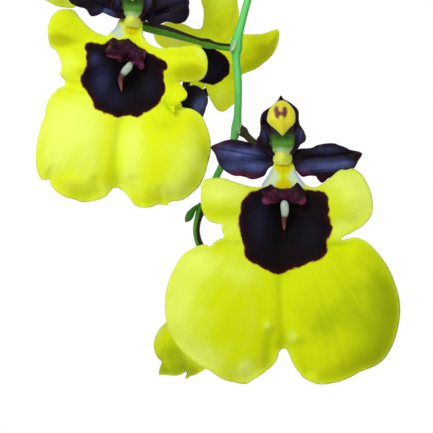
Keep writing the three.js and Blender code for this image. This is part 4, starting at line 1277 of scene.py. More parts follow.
# What a flower has unless its own entry says otherwise. flush is how much of its stalk is dark, on the side that
# shaded points to: its own flush on the upper side, and painted shade on the lower flower's right side.
PLAIN_FLOWER = {
    "turns": (0, 0, 0), "size": 1, "lip": WIDE_LIP, "crest": PAIRED_CREST, "petals": LEVEL_PETALS,
    "finish": "clear", "crest_share": 1, "column_share": 1, "joint": 0.08, "flush": 0.5, "shaded": (0, 0, 1),
}

# Each flower: middle, turns in degrees (yaw about Z, nod about X, roll about its facing axis), size, and parts.
FLOWERS = {
    "right_flower": {
        "at": (-82.7, 0, 155.9),
        "stalk": [
            (-88.8, 12, 161.2), (-88.1, 11.8, 160.4), (-87.1, 11, 159.3), (-86, 9.8, 158.3), (-84.4, 7.2, 156.9),
            (-82.9, 5.2, 155.9),
        ],
        "joint": 0.1, "flush": 1,
    },
    "left_flower": {
        "at": (-104, 3, 175.5), "turns": (0, 0, 4.4), "size": 0.93, "lip": TALL_LIP, "crest": RUFFLED_CREST,
        "petals": RAISED_PETALS, "finish": "painted_brighter",
        "stalk": [
            (-89.3, 12.3, 172.8), (-91.2, 12.1, 172.9), (-94.5, 11.2, 173.6), (-99.5, 9.4, 174.9),
            (-103.6, 7.8, 175.7),
        ],
        "joint": 0.27, "column_share": 0.94,
    },
    "back_flower": {
        "at": (-96.4, 24, 164.8), "turns": (14, 0, -150), "size": 0.56, "lip": BACK_LIP,
        "petals": {"left_petal": TURNED_PETAL, "right_petal": LEVEL_PETALS["right_petal"]},
        "finish": "painted_sunlit",
        "stalk": [(-86.9, 14, 189), (-86.6, 21, 190), (-89, 28, 184), (-93.6, 30, 173), (-96, 27.4, 166.4)],
        "crest_share": 0.55, "column_share": 0.8, "flush": 0.4,
    },
    "lower_flower": {
        "at": (-93.2, 19, 136.4), "turns": (-46, 0, 36), "size": 0.5, "lip": LOW_LIP,
        "stalk": [
            (-93.9, 12, 149.8), (-94.6, 12.2, 148), (-94.95, 12.9, 146.2), (-94.75, 14.2, 144.6),
            (-94, 16.4, 142.9), (-92.6, 19.6, 140.4), (-91.4, 22, 137.4),
        ],
        "shaded": (1, 0, 0.2), "joint": 0.04, "flush": 0.57,
    },
    "upper_flower": {
        "at": (-112, 15, 204.5), "turns": (-24, 0, -6), "size": 0.8,
        "stalk": [(-86.7, 14.3, 195.8), (-93, 17.4, 200.6), (-102, 20, 204.6), (-109.6, 19.6, 205.2)],
    },
}


# ---- Shapes of the plant ----


def bulb_stance(which):
    """Where a bulb stands and how it leans."""
    spec = BULBS[which]
    lean = Matrix.Rotation(radians(-spec["lean"]), 4, "Y")
    return Matrix.Translation((spec["x"], spec["y"], BULB_FOOT)) @ lean


def bulb_top(which):
    return bulb_stance(which) @ Vector((0, 0, BULB_HEIGHT * BULBS[which]["size"]))


def bark_height(x, y):
    """Height of the bark's uneven top."""
    mound = MOUND_HEIGHT * (1 - smooth(0, MOUND_REACH, hypot(x, y)))
    return BARK_TOP + mound + 0.7 * sin(x * 0.55 + 1) * cos(y * 0.6) + 0.5 * sin(x * 0.27 - y * 0.33)


def pot_outline():
    """The pot's section from the middle of its underside, over the rim, to the middle of its floor."""
    wall = [(31.0 + 10.5 * t, 1.0 + 62.0 * t) for t in (i / 36 for i in range(37))]
    thrown = [(r + 0.13 * sin(h * 1.15) * smooth(1, 8, h) * smooth(63, 58, h), h) for r, h in wall]
    collar = [(44.5 + 1.5 * t, 63.0 + 15.5 * t) for t in (i / 10 for i in range(11))]
    collar = [(r + 0.09 * sin(h * 1.5) * smooth(63, 66, h) * smooth(78, 75, h), h) for r, h in collar]
    inside = [(44.8, 80), (42, 80), (41.2, 78.8), (39.6, 69), (37.5, 57), (32.6, 32), (27.5, 7), (25, 5), (0, 5)]
    return [(0, 0), (30, 0), *thrown, *collar, *inside]


def drilled(piece, holes):
    """Cuts upright holes, given as (x, y, radius) in millimetres, through a finished piece's floor."""
    cutter = bmesh.new()
    for x, y, radius in holes:
        place = Matrix.Translation((x * MM, y * MM, 0))
        sizes = {"radius1": radius * MM, "radius2": radius * MM, "depth": DRILL_DEPTH * MM}
        bmesh.ops.create_cone(cutter, cap_ends=True, segments=32, matrix=place, **sizes)
    drill = new_piece(cutter, "drill")
    cut = piece.modifiers.new("Drain holes", "BOOLEAN")
    cut.operation = "DIFFERENCE"
    cut.object = drill
    graph = bpy.context.evaluated_depsgraph_get()
    cut_mesh = bpy.data.meshes.new_from_object(piece.evaluated_get(graph))
    piece.modifiers.clear()
    old, piece.data = piece.data, cut_mesh
    cut_mesh.name = old.name
    bpy.data.meshes.remove(old)
    bpy.data.meshes.remove(drill.data)


def chip_shapes(count, middling, seed):
    """Bark chips scattered over the mound, each a cut block whose corners are knocked about."""
    dice = random.Random(seed)
    bm = new_bmesh("tone")
    local, tone = layers(bm, "tone")
    made = 0
    for _ in range(20 * count):
        if made == count:
            break
        size = middling * dice.choice(CHIP_SIZES)
        far, turn = (CHIP_FIELD - size * 0.55) * sqrt(dice.random()), dice.uniform(0, tau)
        x, y = far * cos(turn), far * sin(turn)
        if any(hypot(x - b["x"], y - b["y"]) < BULB_CLEARANCE * b["size"] for b in BULBS):
            continue
        made += 1
        first = len(bm.verts)
        bmesh.ops.create_cube(bm, size=1.0)
        bm.verts.ensure_lookup_table()
        corners = bm.verts[first:]
        edges = list({e for v in corners for e in v.link_edges})
        bmesh.ops.subdivide_edges(bm, edges=edges, cuts=1, use_grid_fill=True)
        bm.verts.ensure_lookup_table()
        corners = bm.verts[first:]
        shade, shift = dice.random(), dice.uniform(-50, 50)
        lean = Matrix.Rotation(dice.gauss(0, 0.3), 4, "X") @ Matrix.Rotation(dice.gauss(0, 0.3), 4, "Y")
        place = (
            Matrix.Translation((x, y, bark_height(x, y) + dice.uniform(0.0, 1.9)))
            @ Matrix.Rotation(dice.uniform(0, tau), 4, "Z")
            @ lean
            @ Matrix.Diagonal((size, size * dice.uniform(0.45, 0.75), size * dice.uniform(0.18, 0.34), 1))
        )
        for v in corners:
            v.co *= 0.86 if abs(v.co.x) + abs(v.co.y) + abs(v.co.z) > 1.2 else 1.04
            v.co += Vector([dice.uniform(-0.09, 0.09) for _ in range(3)])
            v[local] = Vector((v.co.y * size * 0.6 + shift, v.co.x * size, v.co.z * size * 0.3 + shift))
            v[tone] = shade
        bmesh.ops.transform(bm, matrix=place, verts=corners)
    bmesh.ops.recalc_face_normals(bm, faces=bm.faces)
    return bm


def bulb_shape(which, ribs):
    """One pseudobulb: a flattened ribbed flask with a wrinkled skin and a collar for its leaves."""
    spec = BULBS[which]
    steps = [i / 44 for i in range(45)]
    bm = turned([(0, 0)] + [(BULB_SHAPE(t) if t else 0.24, t) for t in steps] + [(0.07, 1.014), (0, 1.02)], 72)
    local = bm.verts.layers.float_vector["local"]
    wide, deep = BULB_WIDTH * spec["size"], BULB_DEPTH * spec["size"]
    tall = BULB_HEIGHT * spec["size"]
    for v in bm.verts:
        turn = atan2(v.co.y, v.co.x)
        t = v.co.z
        body = smooth(0.03, 0.2, t) * smooth(1.0, 0.8, t)
        rib = 0.028 * cos(ribs * turn + 0.6 * sin(3 * turn + which)) * body
        wrinkle = 0.02 * rough(cos(turn) * 2.4, sin(turn) * 2.4, t * 1.6, 1.6, which) * body
        scar = 0.016 * smooth(0.09, 0.0, abs(t - 0.07)) - 0.016 * smooth(0.03, 0.0, abs(t - 0.13))
        grow = 1 + rib + wrinkle + scar
        v[local] = (cos(turn), t * tall, sin(turn))
        v.co = Vector((v.co.x * wide * grow, v.co.y * deep * grow, t * tall))
    turn = Matrix.Rotation(radians(spec["turn"]), 3, "Z")
    bmesh.ops.rotate(bm, cent=(0, 0, 0), matrix=turn, verts=bm.verts)
    return bm


def leaf_shape(which, side, reach, rise, droop, width):
    """A strap leaf, folded at its foot and bowing over towards its tip."""
    foot = bulb_top(which) + Vector((-side * 0.5, side * 0.7, -1.8))
    outward = Vector((*reach, 0)).normalized()
    stops = []
    for t in (0, 0.2, 0.4, 0.6, 0.8, 1):
        share = 0.4 * t + 0.6 * t * t
        stops.append(foot + Vector((reach[0] * share, reach[1] * share, rise * t * (1 + droop * (1 - t)))))
    way = Way(stops)

    def lift(t, edge):
        fold = (0.3 + 2.3 * smooth(0, 0.35, t)) * (1 - 0.7 * t)
        keel = -0.35 * bell(edge, 0.1) * (1 - t)
        wave = 0.35 * smooth(0.15, 0.6, t) * edge * abs(edge) * sin(11 * t + 2 * side + which)
        return fold * abs(edge) + 0.4 * side * edge * t + keel + wave

    facing = (-outward.x, -outward.y, 0.35)
    return blade(way, facing, lambda t: LEAF_WIDTH / 2 * width * LEAF_SHAPE(t), lift, 64, 16)


def sheath_shape(which, angle, height, clear):
    """A dry split sheath that stands beside a bulb's foot."""
    spec = BULBS[which]
    across = Vector((cos(radians(angle)), sin(radians(angle)), 0))
    facet = radians(angle - spec["turn"])
    a, b = BULB_WIDTH * spec["size"], BULB_DEPTH * spec["size"]
    reach = 0.5 * a * b / hypot(b * cos(facet), a * sin(facet)) + clear
    section = ((-0.6, 0.1), (0.2, 0.4), (0.3, 0.75), (1.9, 1))
    stops = [across * (reach + out) + Vector((0, 0, up * height)) for out, up in section]
    half = profile(0.95, 1.0, 0.92, 0.66, 0.0)

    def lift(t, edge):
        tear = 0.3 * rough(edge * 3, t * 9, which, 1.0, angle)
        return 1.9 * (1 - 0.6 * t) * edge * edge + tear * smooth(0.2, 0.9, t)

    return blade(Way(stops), -across, lambda t: 5.2 * half(t) * (1 + 0.05 * sin(37 * t)), lift, 30, 14)


def mark_shoot(bm, way, painted_pale_side, flush):
    """Marks the side of a shoot that is painted pale as a highlight, and where it is flushed. flush is read with
    (t, outward direction).
    """
    local, pale, dark = layers(bm, "pale", "flush")
    for v in bm.verts:
        t = v[local].y / way.length
        out = (v.co - way.at(t)).normalized() if (v.co - way.at(t)).length > 1e-4 else Vector((0, 0, 1))
        v[pale] = smooth(0.45, 0.98, out.dot(Vector(painted_pale_side).normalized()))
        v[dark] = flush(t, out)


def stem_swelling(t, turn=0.0):
    """How far the stem stands out at its nodes, and in the wedge above the left flower's node."""
    nodes = 0.2 * sum(bell(t - node, 0.006) for node in STEM_NODES)
    wedge = 0.17 * smooth(0.862, 0.882, t) * smooth(0.889, 0.886, t)
    return nodes + wedge


def bract_shape(way, share, side, length_along, width):
    """A small pointed bract that clasps the stem at a node."""
    along = way.heading(share)
    away = Vector(side)
    away = (away - along * away.dot(along)).normalized()
    foot = way.at(share) + away * (STEM_RADIUS(share) + 0.35)
    stops = [foot + along * (s * length_along) + away * (out * width) for s, out in ((0, 0), (0.5, 0.1), (1, 0.6))]
    half = profile(0.9, 1.0, 0.72, 0.0)

    def lift(t, edge):
        return 0.4 * width * edge * edge * (1 - 0.5 * t) - 0.06 * width * bell(edge, 0.15)

    return blade(Way(stops), -away, lambda t: width * half(t), lift, 20, 10)


# ---- Shapes of the flowers ----


def all_flowers():
    """Each flower's name, with all that is known of it."""
    return [(name, PLAIN_FLOWER | own) for name, own in FLOWERS.items()]


def flower_place(flower, share=1.0):
    """Turns and moves a piece from its flower's own axes to the plant's; share shrinks it further."""
    yaw, nod, roll = (radians(a) for a in flower["turns"])
    turn = Matrix.Rotation(yaw, 4, "Z") @ Matrix.Rotation(nod, 4, "X") @ Matrix.Rotation(roll, 4, "Y")
    return Matrix.Translation(flower["at"]) @ turn @ Matrix.Scale(flower["size"] * share, 4)


def lip_depth(lip, x, z, inside=9.0, around=0.0):
    """How far a lip's face stands behind its flower's front plane. inside is the distance to its margin."""
    claw = 0.55 * max(0.0, z + 4.7)
    swell = blobs(x, z, lip["bulges"])
    cut = sum(depth * furrow(x, z, *line, width) for *line, width, depth in lip["furrows"])
    skirt = smooth(-11.0, -15.0, z)
    curl = (0.35 + 1.1 * skirt) * bell(inside, 1.9)
    low = smooth(-20.0, -26.0, z)
    crimp = lip["crimp"] * (0.05 + 0.2 * low) * sin(around * 74 + 3 * sin(around * 23))
    return -0.9 + claw - swell + cut + curl + crimp * bell(inside, 1.6)


LIP_MASKS = ("blotch", "rim", "tone", "gold", "mint", "glow")
TEPAL_MASKS = ("rim", "tone", "blush")


def lip_shape(lip, middle_height=-4.0):
    """The whole lip as one sheet, with its colour masks, among them painted light, shade and sheen."""
    bm = cut_sheet(lip["outline"], 0.3, *LIP_MASKS)
    bm.verts.layers.float_vector.new("rays")
    rays = bm.verts.layers.float_vector["rays"]
    local, tone, gold, mint, glow, rim = layers(bm, "tone", "gold", "mint", "glow", "rim")
    read_distance(bm, "blotch", lip["blotch"])
    read_distance(bm, "rim", lip["outline"])
    for v in bm.verts:
        x, z = v.co.x, v.co.z
        around = atan2(z - lip["middle"][1], x - lip["middle"][0]) / tau
        v[local] = (x, 0, z)
        v[rays] = (atan2(x, middle_height - z), hypot(x, z - middle_height), 0)
        v[tone] = max(-2.0, min(1.0, blobs(x, z, lip["tones_and_painted_light"])))
        v[gold] = smooth(0.3, 0.62, max(s[4] * blob(x, z, *s[:4]) for s in lip["gold"]))
        v[mint] = smooth(0.25, 0.75, blobs(x, z, lip["mint"]))
        v[glow] = min(1.0, blobs(x, z, lip["glow"]))
        v.co.y = lip_depth(lip, x, z, max(0.0, v[rim]), around)
    face_towards(bm, FRONT)
    return bm


def crest_shape(lip, crest):
    """The warty crest that stands on the lip below the column."""
    bm = sheet(crest["outline"], crest["middle"], 18, 110, "rim", "tone")
    local, rim, tone = layers(bm, "rim", "tone")
    read_distance(bm, "rim", crest["outline"])
    for v in bm.verts:
        x, z = v.co.x, v.co.z
        inside = max(0.0, v[rim])
        stand = 0.3 + 0.45 * smooth(0, 0.7, inside) + 0.4 * smooth(-5.2, -6.1, z)
        stand += blobs(x, z, crest["bulges"]) + 0.18 * rough(x, z, 0, 1.6, 4.0)
        v[local] = (x, 0, z)
        v[tone] = min(0.85, blobs(x, z, crest["blush"])) * smooth(1.0, 0.1, inside)
        v.co.y = lip_depth(lip, x, z) - stand
    face_towards(bm, FRONT)
    return bm


def flap_shape(lip, outline, middle):
    """A torn flap of the lip's margin whose free tip curls up off its face."""
    bm = sheet(outline, middle, 12, 90, *LIP_MASKS)
    bm.verts.layers.float_vector.new("rays")
    rays = bm.verts.layers.float_vector["rays"]
    local, blotch, rim, tone = layers(bm, "blotch", "rim", "tone")
    for v in bm.verts:
        x, z = v.co.x, v.co.z
        free = smooth(-10.6, -11.8, z)
        v[local] = (x, 0, z)
        v[rays] = (0.3 * x, 0.3 * z, 0)
        v[blotch], v[rim] = -3.0, 3.0
        # The lip's painted light and shade, with painted shade deepening towards the free, curled tip.
        v[tone] = blobs(x, z, lip["tones_and_painted_light"]) - 0.3 * free
        v.co.y = lip_depth(lip, x, z, 1.6) + 0.3 * smooth(7.7, 7.1, x) * (1 - free) - 0.5 * free
    face_towards(bm, FRONT)
    return bm


def tooth_shape(stops):
    """The white tooth below the crest and its brown tip, along its (x, y, z) stops."""
    return shoot(Way(stops), profile(0.24, 0.46, 0.58, 0.56, 0.48, 0.43, 0.34, 0.22, 0.08), 34, 18)


def tepal_depth(spec, x, z, stand):
    """How a petal or sepal's sheet stands in y: cupped over its midrib and grooved along it."""
    (x1, z1), (x2, z2) = spec["rib"]
    span = hypot(x2 - x1, z2 - z1)
    along = ((x - x1) * (x2 - x1) + (z - z1) * (z2 - z1)) / span
    across = ((x - x1) * (z2 - z1) - (z - z1) * (x2 - x1)) / span
    groove = sum(depth * furrow(x, z, *line, width) for *line, width, depth in spec["groove"])
    return along, across, stand(along / span, across) + groove


def tepal_shape(spec, stand, rings=22, sectors=120):
    """One petal or sepal, with its painted sheen, margin and blush masks."""
    bm = sheet(spec["outline"], spec["middle"], rings, sectors, *TEPAL_MASKS)
    local, rim, tone, blush = layers(bm, "rim", "tone", "blush")
    read_distance(bm, "rim", spec["outline"])
    for v in bm.verts:
        x, z = v.co.x, v.co.z
        along, across, depth = tepal_depth(spec, x, z, stand)
        inside = max(0.0, v[rim])
        ruffle = 0.22 * sin(2.3 * along + 0.8 * sin(1.7 * along)) * bell(inside, 0.9)
        v[local] = (across, along, 0)
        v[tone] = min(1.0, blobs(x, z, spec["tones_and_painted_light"]))
        v[blush] = min(0.85, blobs(x, z, spec["blush"])) * smooth(1.3, 0.2, inside)
        v.co.y = depth + ruffle - spec.get("forward", 0.0)
    face_towards(bm, FRONT)
    return bm


def petal_stand(t, across):
    return 1.8 - 1.2 * t + 0.12 * across**2


def hood_stand(t, across):
    return 3.4 + 0.6 * t - 2.6 * t**3 - 0.13 * across**2


# What each tepal is cut from, or None where each flower has its own, and how it stands.
TEPALS = {
    "left_petal": (None, petal_stand), "right_petal": (None, petal_stand), "dorsal_sepal": (HOOD, hood_stand),
}


def side_sepal_shape(side):
    """One of the two sepals that hang behind the lip."""
    way = Way([(side * 0.5, 3.1, -0.7), (side * 1.6, 3.5, -3.4), (side * 3.0, 3.6, -6.6), (side * 4.0, 3.2, -9.4)])
    half = profile(0.3, 0.62, 0.93, 1.0, 0.9, 0.6, 0.0)

    def lift(t, edge):
        return 0.4 * edge * edge * (1 - 0.5 * t) - 0.2 * bell(edge, 0.16)

    bm = blade(way, FRONT, lambda t: 0.95 * half(t), lift, 30, 14, *TEPAL_MASKS)
    local, rim, tone = layers(bm, "rim", "tone")
    for v in bm.verts:
        _, along, edge = v[local]
        v[rim] = (1 - abs(edge)) * 0.95
        # Painted sheen along the middle of each half of the sepal.
        v[tone] = 0.5 * blob(abs(edge), along, 0.5, 4.5, 0.3, 3.0)
    return bm


def column_shape():
    """The column: a leaning post whose face is hollowed into the stigma."""
    outline = [(0, -0.7), (1.0, -0.6), (1.35, 0.1), (1.3, 0.9), (1.55, 1.6), (1.95, 2.3), (2.05, 3.2)]
    outline += [(1.85, 4.4), (1.4, 6.2), (0.8, 7.2), (0, 7.6)]
    way = Way([(r, 0, z) for r, z in outline], per_span=8)
    line = [way.at(i / 40) for i in range(41)]
    bm = turned([(max(0.0, p.x) if 0 < i < 40 else 0.0, p.z) for i, p in enumerate(line)], 48)
    local = bm.verts.layers.float_vector["local"]
    for v in bm.verts:
        x, y, z = v.co
        face = smooth(0.2, -0.6, y)
        hollow = 0.75 * blob(x, z, 0, 3.1, 1.05, 0.85) * face
        foot_ridge = 0.25 * cos(2.6 * x) * blob(0, z, 0, 0.6, 1, 0.9) * face
        v[local] = (x, y, z)
        v.co = (x, y * 0.75 - 0.25 * z + 1.6 + hollow - foot_ridge, z)
    return bm


def wing_shape(outline, side):
    """One of the dark flaps beside the stigma."""
    spec = {"outline": outline, "middle": (side * 2.3, 3.2), "rib": ((side * 1.4, 1.2), (side * 2.8, 5.0))}
    # A little painted sheen on each wing.
    spec |= {"tones_and_painted_light": [(side * 2.5, 3.6, 0.5, 0.9, 0.3)], "blush": [], "groove": []}
    return tepal_shape(spec, lambda t, across: 1.0 - 1.1 * t - 0.25 * side * across, rings=10, sectors=56)


def cap_shape():
    """The shield-shaped anther cap, pinched to a point below."""
    bm = new_bmesh("rim", "mark", "glint")
    bmesh.ops.create_uvsphere(bm, u_segments=72, v_segments=28, radius=1.0)
    bmesh.ops.rotate(bm, cent=(0, 0, 0), matrix=Matrix.Rotation(pi / 2, 3, "X"), verts=bm.verts)
    ring = ring_points(CAP_OUTLINE, 360)
    middle = (-0.28, 5.9)
    turns = [atan2(z - middle[1], x - middle[0]) for x, z in ring]
    spans = [hypot(z - middle[1], x - middle[0]) for x, z in ring]
    order = sorted(range(len(ring)), key=lambda i: turns[i])
    turns, spans = [turns[i] for i in order], [spans[i] for i in order]
    local, rim, mark, glint = layers(bm, "rim", "mark", "glint")
    for v in bm.verts:
        reach = hypot(v.co.x, v.co.z)
        turn = atan2(v.co.z, v.co.x)
        span = float(np.interp(turn, turns, spans, period=tau))
        x, z = middle[0] + span * reach * cos(turn), middle[1] + span * reach * sin(turn)
        front = v.co.y < 0
        ridge = 0.28 * blob(x, z, -0.28, 5.6, 0.45, 2.0) - 0.22 * blob(x, z, -1.0, 6.6, 0.45, 0.8)
        ridge -= 0.22 * blob(x, z, 0.45, 6.6, 0.45, 0.8)
        v[local] = (x, v.co.y, z)
        v[rim] = (1 - reach) * span
        lobes = blobs(x, z, CAP_MARK["left"]), blobs(x, z, CAP_MARK["right"])
        v[mark] = 1.45 * max(*lobes, 0.85 * blob(x, z, -0.34, 6.45, 0.6, 0.38))
        # Painted highlight spot between the two lobes of the mark.
        v[glint] = 0.75 * blob(x, z, -0.34, 7.0, 0.26, 0.3)
        v.co = (x, -0.62 + 0.12 * (z - 5.9) - 0.95 * -v.co.y * (1 if front else 0.7) - (ridge if front else 0), z)
    bmesh.ops.recalc_face_normals(bm, faces=bm.faces)
    return bm


# ---- Operators ----


class ORCHID_OT_stage(bpy.types.Operator):
    """Set the floor, the soft studio lights, the sky and the camera"""

    bl_idname = "orchid.stage"
    bl_label = "Stage"

    def execute(self, context):
        stage = context.scene.orchid_stage
        bm = bmesh.new()
        bmesh.ops.create_circle(bm, cap_ends=True, segments=128, radius=stage.floor_radius)
        bmesh.ops.translate(bm, vec=(0, 0, -FLOOR_DROP), verts=bm.verts)
        new_piece(bm, "studio_floor", floor_material(stage))
        for name, setting, place, side in LAMPS:
            lamp = bpy.data.lights.new(name, "AREA")
            lamp.energy, lamp.size = getattr(stage, setting), side
            holder = bpy.data.objects.new(name, lamp)
            holder.location = place
            holder.rotation_mode = "QUATERNION"
            holder.rotation_quaternion = (Vector(LAMP_AIM) - Vector(place)).to_track_quat("-Z", "Y")
            context.scene.collection.objects.link(holder)
        self.set_sky(context, stage)
        self.set_camera(context, stage)
        context.scene.view_settings.view_transform = "Standard"
        return {"FINISHED"}

    def set_sky(self, context, stage):
        """White behind everything, and an even light of the chosen strength."""
        sky = bpy.data.worlds.new("Studio Sky")
        sky.use_nodes = True
        sky.node_tree.nodes.clear()
        pen = Pen(sky.node_tree)
        seen = pen.add("ShaderNodeLightPath").outputs["Is Camera Ray"]
        strength = pen.math("MULTIPLY_ADD", seen, 1.0 - stage.sky, stage.sky)
        light = pen.add("ShaderNodeBackground", {"Color": (1.0, 1.0, 1.0), "Strength": strength})
        end = pen.add("ShaderNodeOutputWorld")
        sky.node_tree.links.new(light.outputs[0], end.inputs["Surface"])
        context.scene.world = sky

    def set_camera(self, context, stage):
        """Level with the front flower, looking along +Y."""
        eye = bpy.data.cameras.new("orchid_camera")
        eye.lens, eye.sensor_width = stage.lens, SENSOR_WIDTH
        eye.clip_start, eye.clip_end = CAMERA_CLIP
        camera = bpy.data.objects.new("orchid_camera", eye)
        camera.location = (CAMERA_X, -stage.reach, CAMERA_Z)
        camera.rotation_euler = (pi / 2, 0, 0)
        context.scene.collection.objects.link(camera)
        context.scene.camera = camera


class ORCHID_OT_pot(bpy.types.Operator):
    """Turn the clay pot and drill its drain holes"""

    bl_idname = "orchid.pot"
    bl_label = "Pot"

    def execute(self, context):
        pot = context.scene.orchid_pot
        bm = turned(pot_outline(), pot.steps)
        corners = [e for e in bm.edges if len(e.link_faces) == 2 and e.calc_face_angle() > radians(SHARP_EDGE)]
        rounding = {"offset": EDGE_ROUNDING, "segments": 3, "profile": 0.5, "clamp_overlap": True}
        bmesh.ops.bevel(bm, geom=corners, affect="EDGES", material=-1, **rounding)
        piece = finish(bm, "clay_pot", clay_material(pot), ["pot"])
        ring = [pi / 4 + i * tau / DRAIN_COUNT for i in range(DRAIN_COUNT)]
        drilled(piece, [(DRAIN_RING * cos(a), DRAIN_RING * sin(a), pot.hole_radius / MM) for a in ring])
        return {"FINISHED"}


class ORCHID_OT_bark(bpy.types.Operator):
    """Fill the pot with bark and scatter chips on top"""

    bl_idname = "orchid.bark"
    bl_label = "Bark"

    def execute(self, context):
        pot = context.scene.orchid_pot
        material = bark_material(pot)
        top = [(38.0 * i / 40, 70.0) for i in range(40, -1, -1)]
        bm = turned([(0, 5.3), (24.6, 5.3), (26.8, 7.8), (36.7, 57), *top], 96, "tone")
        local, tone = layers(bm, "tone")
        for v in bm.verts:
            v[local] = v.co
            v[tone] = 0.25 + 0.25 * rough(*v.co, 0.2)
            if v.co.z > 69.9:
                v.co.z = bark_height(v.co.x, v.co.y) - 0.6 + 0.5 * rough(*v.co, 0.45)
        finish(bm, "bark_mound", material, ["potting_bark"])
        finish(chip_shapes(pot.chips, pot.chip_size / MM, CHIP_SEED), "bark_chips", material)
        return {"FINISHED"}


class ORCHID_OT_roots(bpy.types.Operator):
    """Lay the rhizome over the bark and run the roots out from it"""

    bl_idname = "orchid.roots"
    bl_label = "Rhizome and Roots"

    def execute(self, context):
        plant = context.scene.orchid_plant
        way = Way(RHIZOME)

        def scale_ring(t, turn):
            ring = 0.16 * abs(sin(t * way.length * 0.78)) ** 6
            return ring + 0.12 * rough(cos(turn), sin(turn), t * 20, 1.4)

        bm = shoot(way, lambda t: 2.85 * (0.75 + 0.25 * sin(pi * t)), 110, 26, scale_ring)
        finish(bm, "rhizome_shoot", rhizome_material(plant), ["rhizome"])
        material = root_material(plant)
        for number, (radius, points) in enumerate(ROOTS, start=1):
            way = Way(points)

            def skin(t, turn, seed=number):
                return 0.13 * rough(cos(turn), sin(turn), t * 60, 1.1, seed)

            bm = shoot(way, lambda t: radius * (1 - 0.45 * smooth(0.9, 1, t)) - 0.05, 140, 18, skin)
            finish(bm, f"trailing_root_{number}", material, [f"root_{number}"])
        return {"FINISHED"}


class ORCHID_OT_bulbs(bpy.types.Operator):
    """Grow the pseudobulbs and the dry sheaths at their feet"""

    bl_idname = "orchid.bulbs"
    bl_label = "Pseudobulbs"

    def execute(self, context):
        plant = context.scene.orchid_plant
        skin = bulb_material(plant)
        for which in range(len(BULBS)):
            bm, place = bulb_shape(which, plant.bulb_ribs), bulb_stance(which)
            finish(bm, f"ribbed_bulb_{which + 1}", skin, [f"pseudobulb_{which + 1}"], place=place)
        paper = husk_material(plant, "Dry Sheath", plant.husk, 0.25, 1.0)
        for number, spec in enumerate(SHEATHS, start=1):
            bm, place = sheath_shape(*spec), bulb_stance(spec[0])
            finish(bm, f"dry_sheath_{number}", paper, [f"bulb_sheath_{number}"], wall=0.3, place=place)
        return {"FINISHED"}


class ORCHID_OT_leaves(bpy.types.Operator):
    """Grow two strap leaves from each of the three younger bulbs"""

    bl_idname = "orchid.leaves"
    bl_label = "Leaves"

    def execute(self, context):
        plant = context.scene.orchid_plant
        material = leaf_material(plant)
        wall = plant.leaf_thickness / MM
        for number, spec in enumerate(LEAVES, start=1):
            finish(leaf_shape(*spec), f"strap_leaf_{number}", material, [f"leaf_{number}"], wall, rounds=1)
        return {"FINISHED"}


class ORCHID_OT_stem(bpy.types.Operator):
    """Grow the arching flower stem with its nodes, bracts and tip bud"""

    bl_idname = "orchid.stem"
    bl_label = "Flower Stem"

    def execute(self, context):
        plant = context.scene.orchid_plant
        way = Way(STEM)
        bm = shoot(way, STEM_RADIUS, 620, 24, stem_swelling, "pale", "flush")

        def flush(t, out):
            return 0.5 * smooth(0.3, 0.0, t) + 0.15 * smooth(0.93, 1, t)

        mark_shoot(bm, way, (-0.3, -0.95, 0.1), flush)
        green = stem_material("Stem Skin", plant.stem, plant.stem_painted_highlight, tint("#2f6a2c"), 0.6)
        finish(bm, "arching_stem", green, ["flower_stem"])
        paper = husk_material(plant, "Pale Bract", tint("#c4e8b8"), 0.35, 0.12)
        for name, *spec in BRACTS:
            finish(bract_shape(way, *spec), f"{name}_blade", paper, [name], wall=0.14)
        bud = Way(TIP_BUD)
        bm = shoot(bud, profile(0.3, 0.27, 0.3, 0.42, 0.58, 0.52, 0.16), 40, 20, None, "pale", "flush")
        mark_shoot(bm, bud, (-0.3, -0.9, 0.3), lambda t, out: smooth(0.76, 0.98, t))
        bud_skin = stem_material("Bud Skin", tint("#2f8a16"), tint("#4ea62e"), tint("#7a6a4a"), 0.9)
        finish(bm, "stem_tip_bud", bud_skin, ["tip_bud"])
        return {"FINISHED"}


class ORCHID_OT_stalks(bpy.types.Operator):
    """Grow the stalk of each flower"""

    bl_idname = "orchid.stalks"
    bl_label = "Flower Stalks"

    def execute(self, context):
        plant = context.scene.orchid_plant
        material = stem_material("Stalk Skin", tint("#58a81e"), tint("#70b634"), plant.stalk, 0.95)
        shape = profile(0.6, 0.52, 0.55, 0.7, 0.82, 0.68)
        for name, flower in all_flowers():
            way = Way(flower["stalk"])

            def ribs(t, turn, joint=flower["joint"]):
                return 0.05 * cos(3 * turn) * smooth(0.3, 0.7, t) + 0.22 * bell(t - joint, 0.05)

            bm = shoot(way, shape, 90, 24, ribs, "pale", "flush")
            lean, dark_side = 2.4 * flower["flush"] - 1.2, Vector(flower["shaded"])
            # Each stalk is painted pale as a highlight on its side towards the camera, and dark towards shaded: its
            # own flush, but painted shade on the lower flower.
            mark_shoot(bm, way, (-0.4, -0.8, 0.2), lambda t, out: smooth(-0.5, 0.6, out.dot(dark_side) + lean))
            finish(bm, f"{name}_pedicel", material, [f"{name}_stalk"])
        return {"FINISHED"}


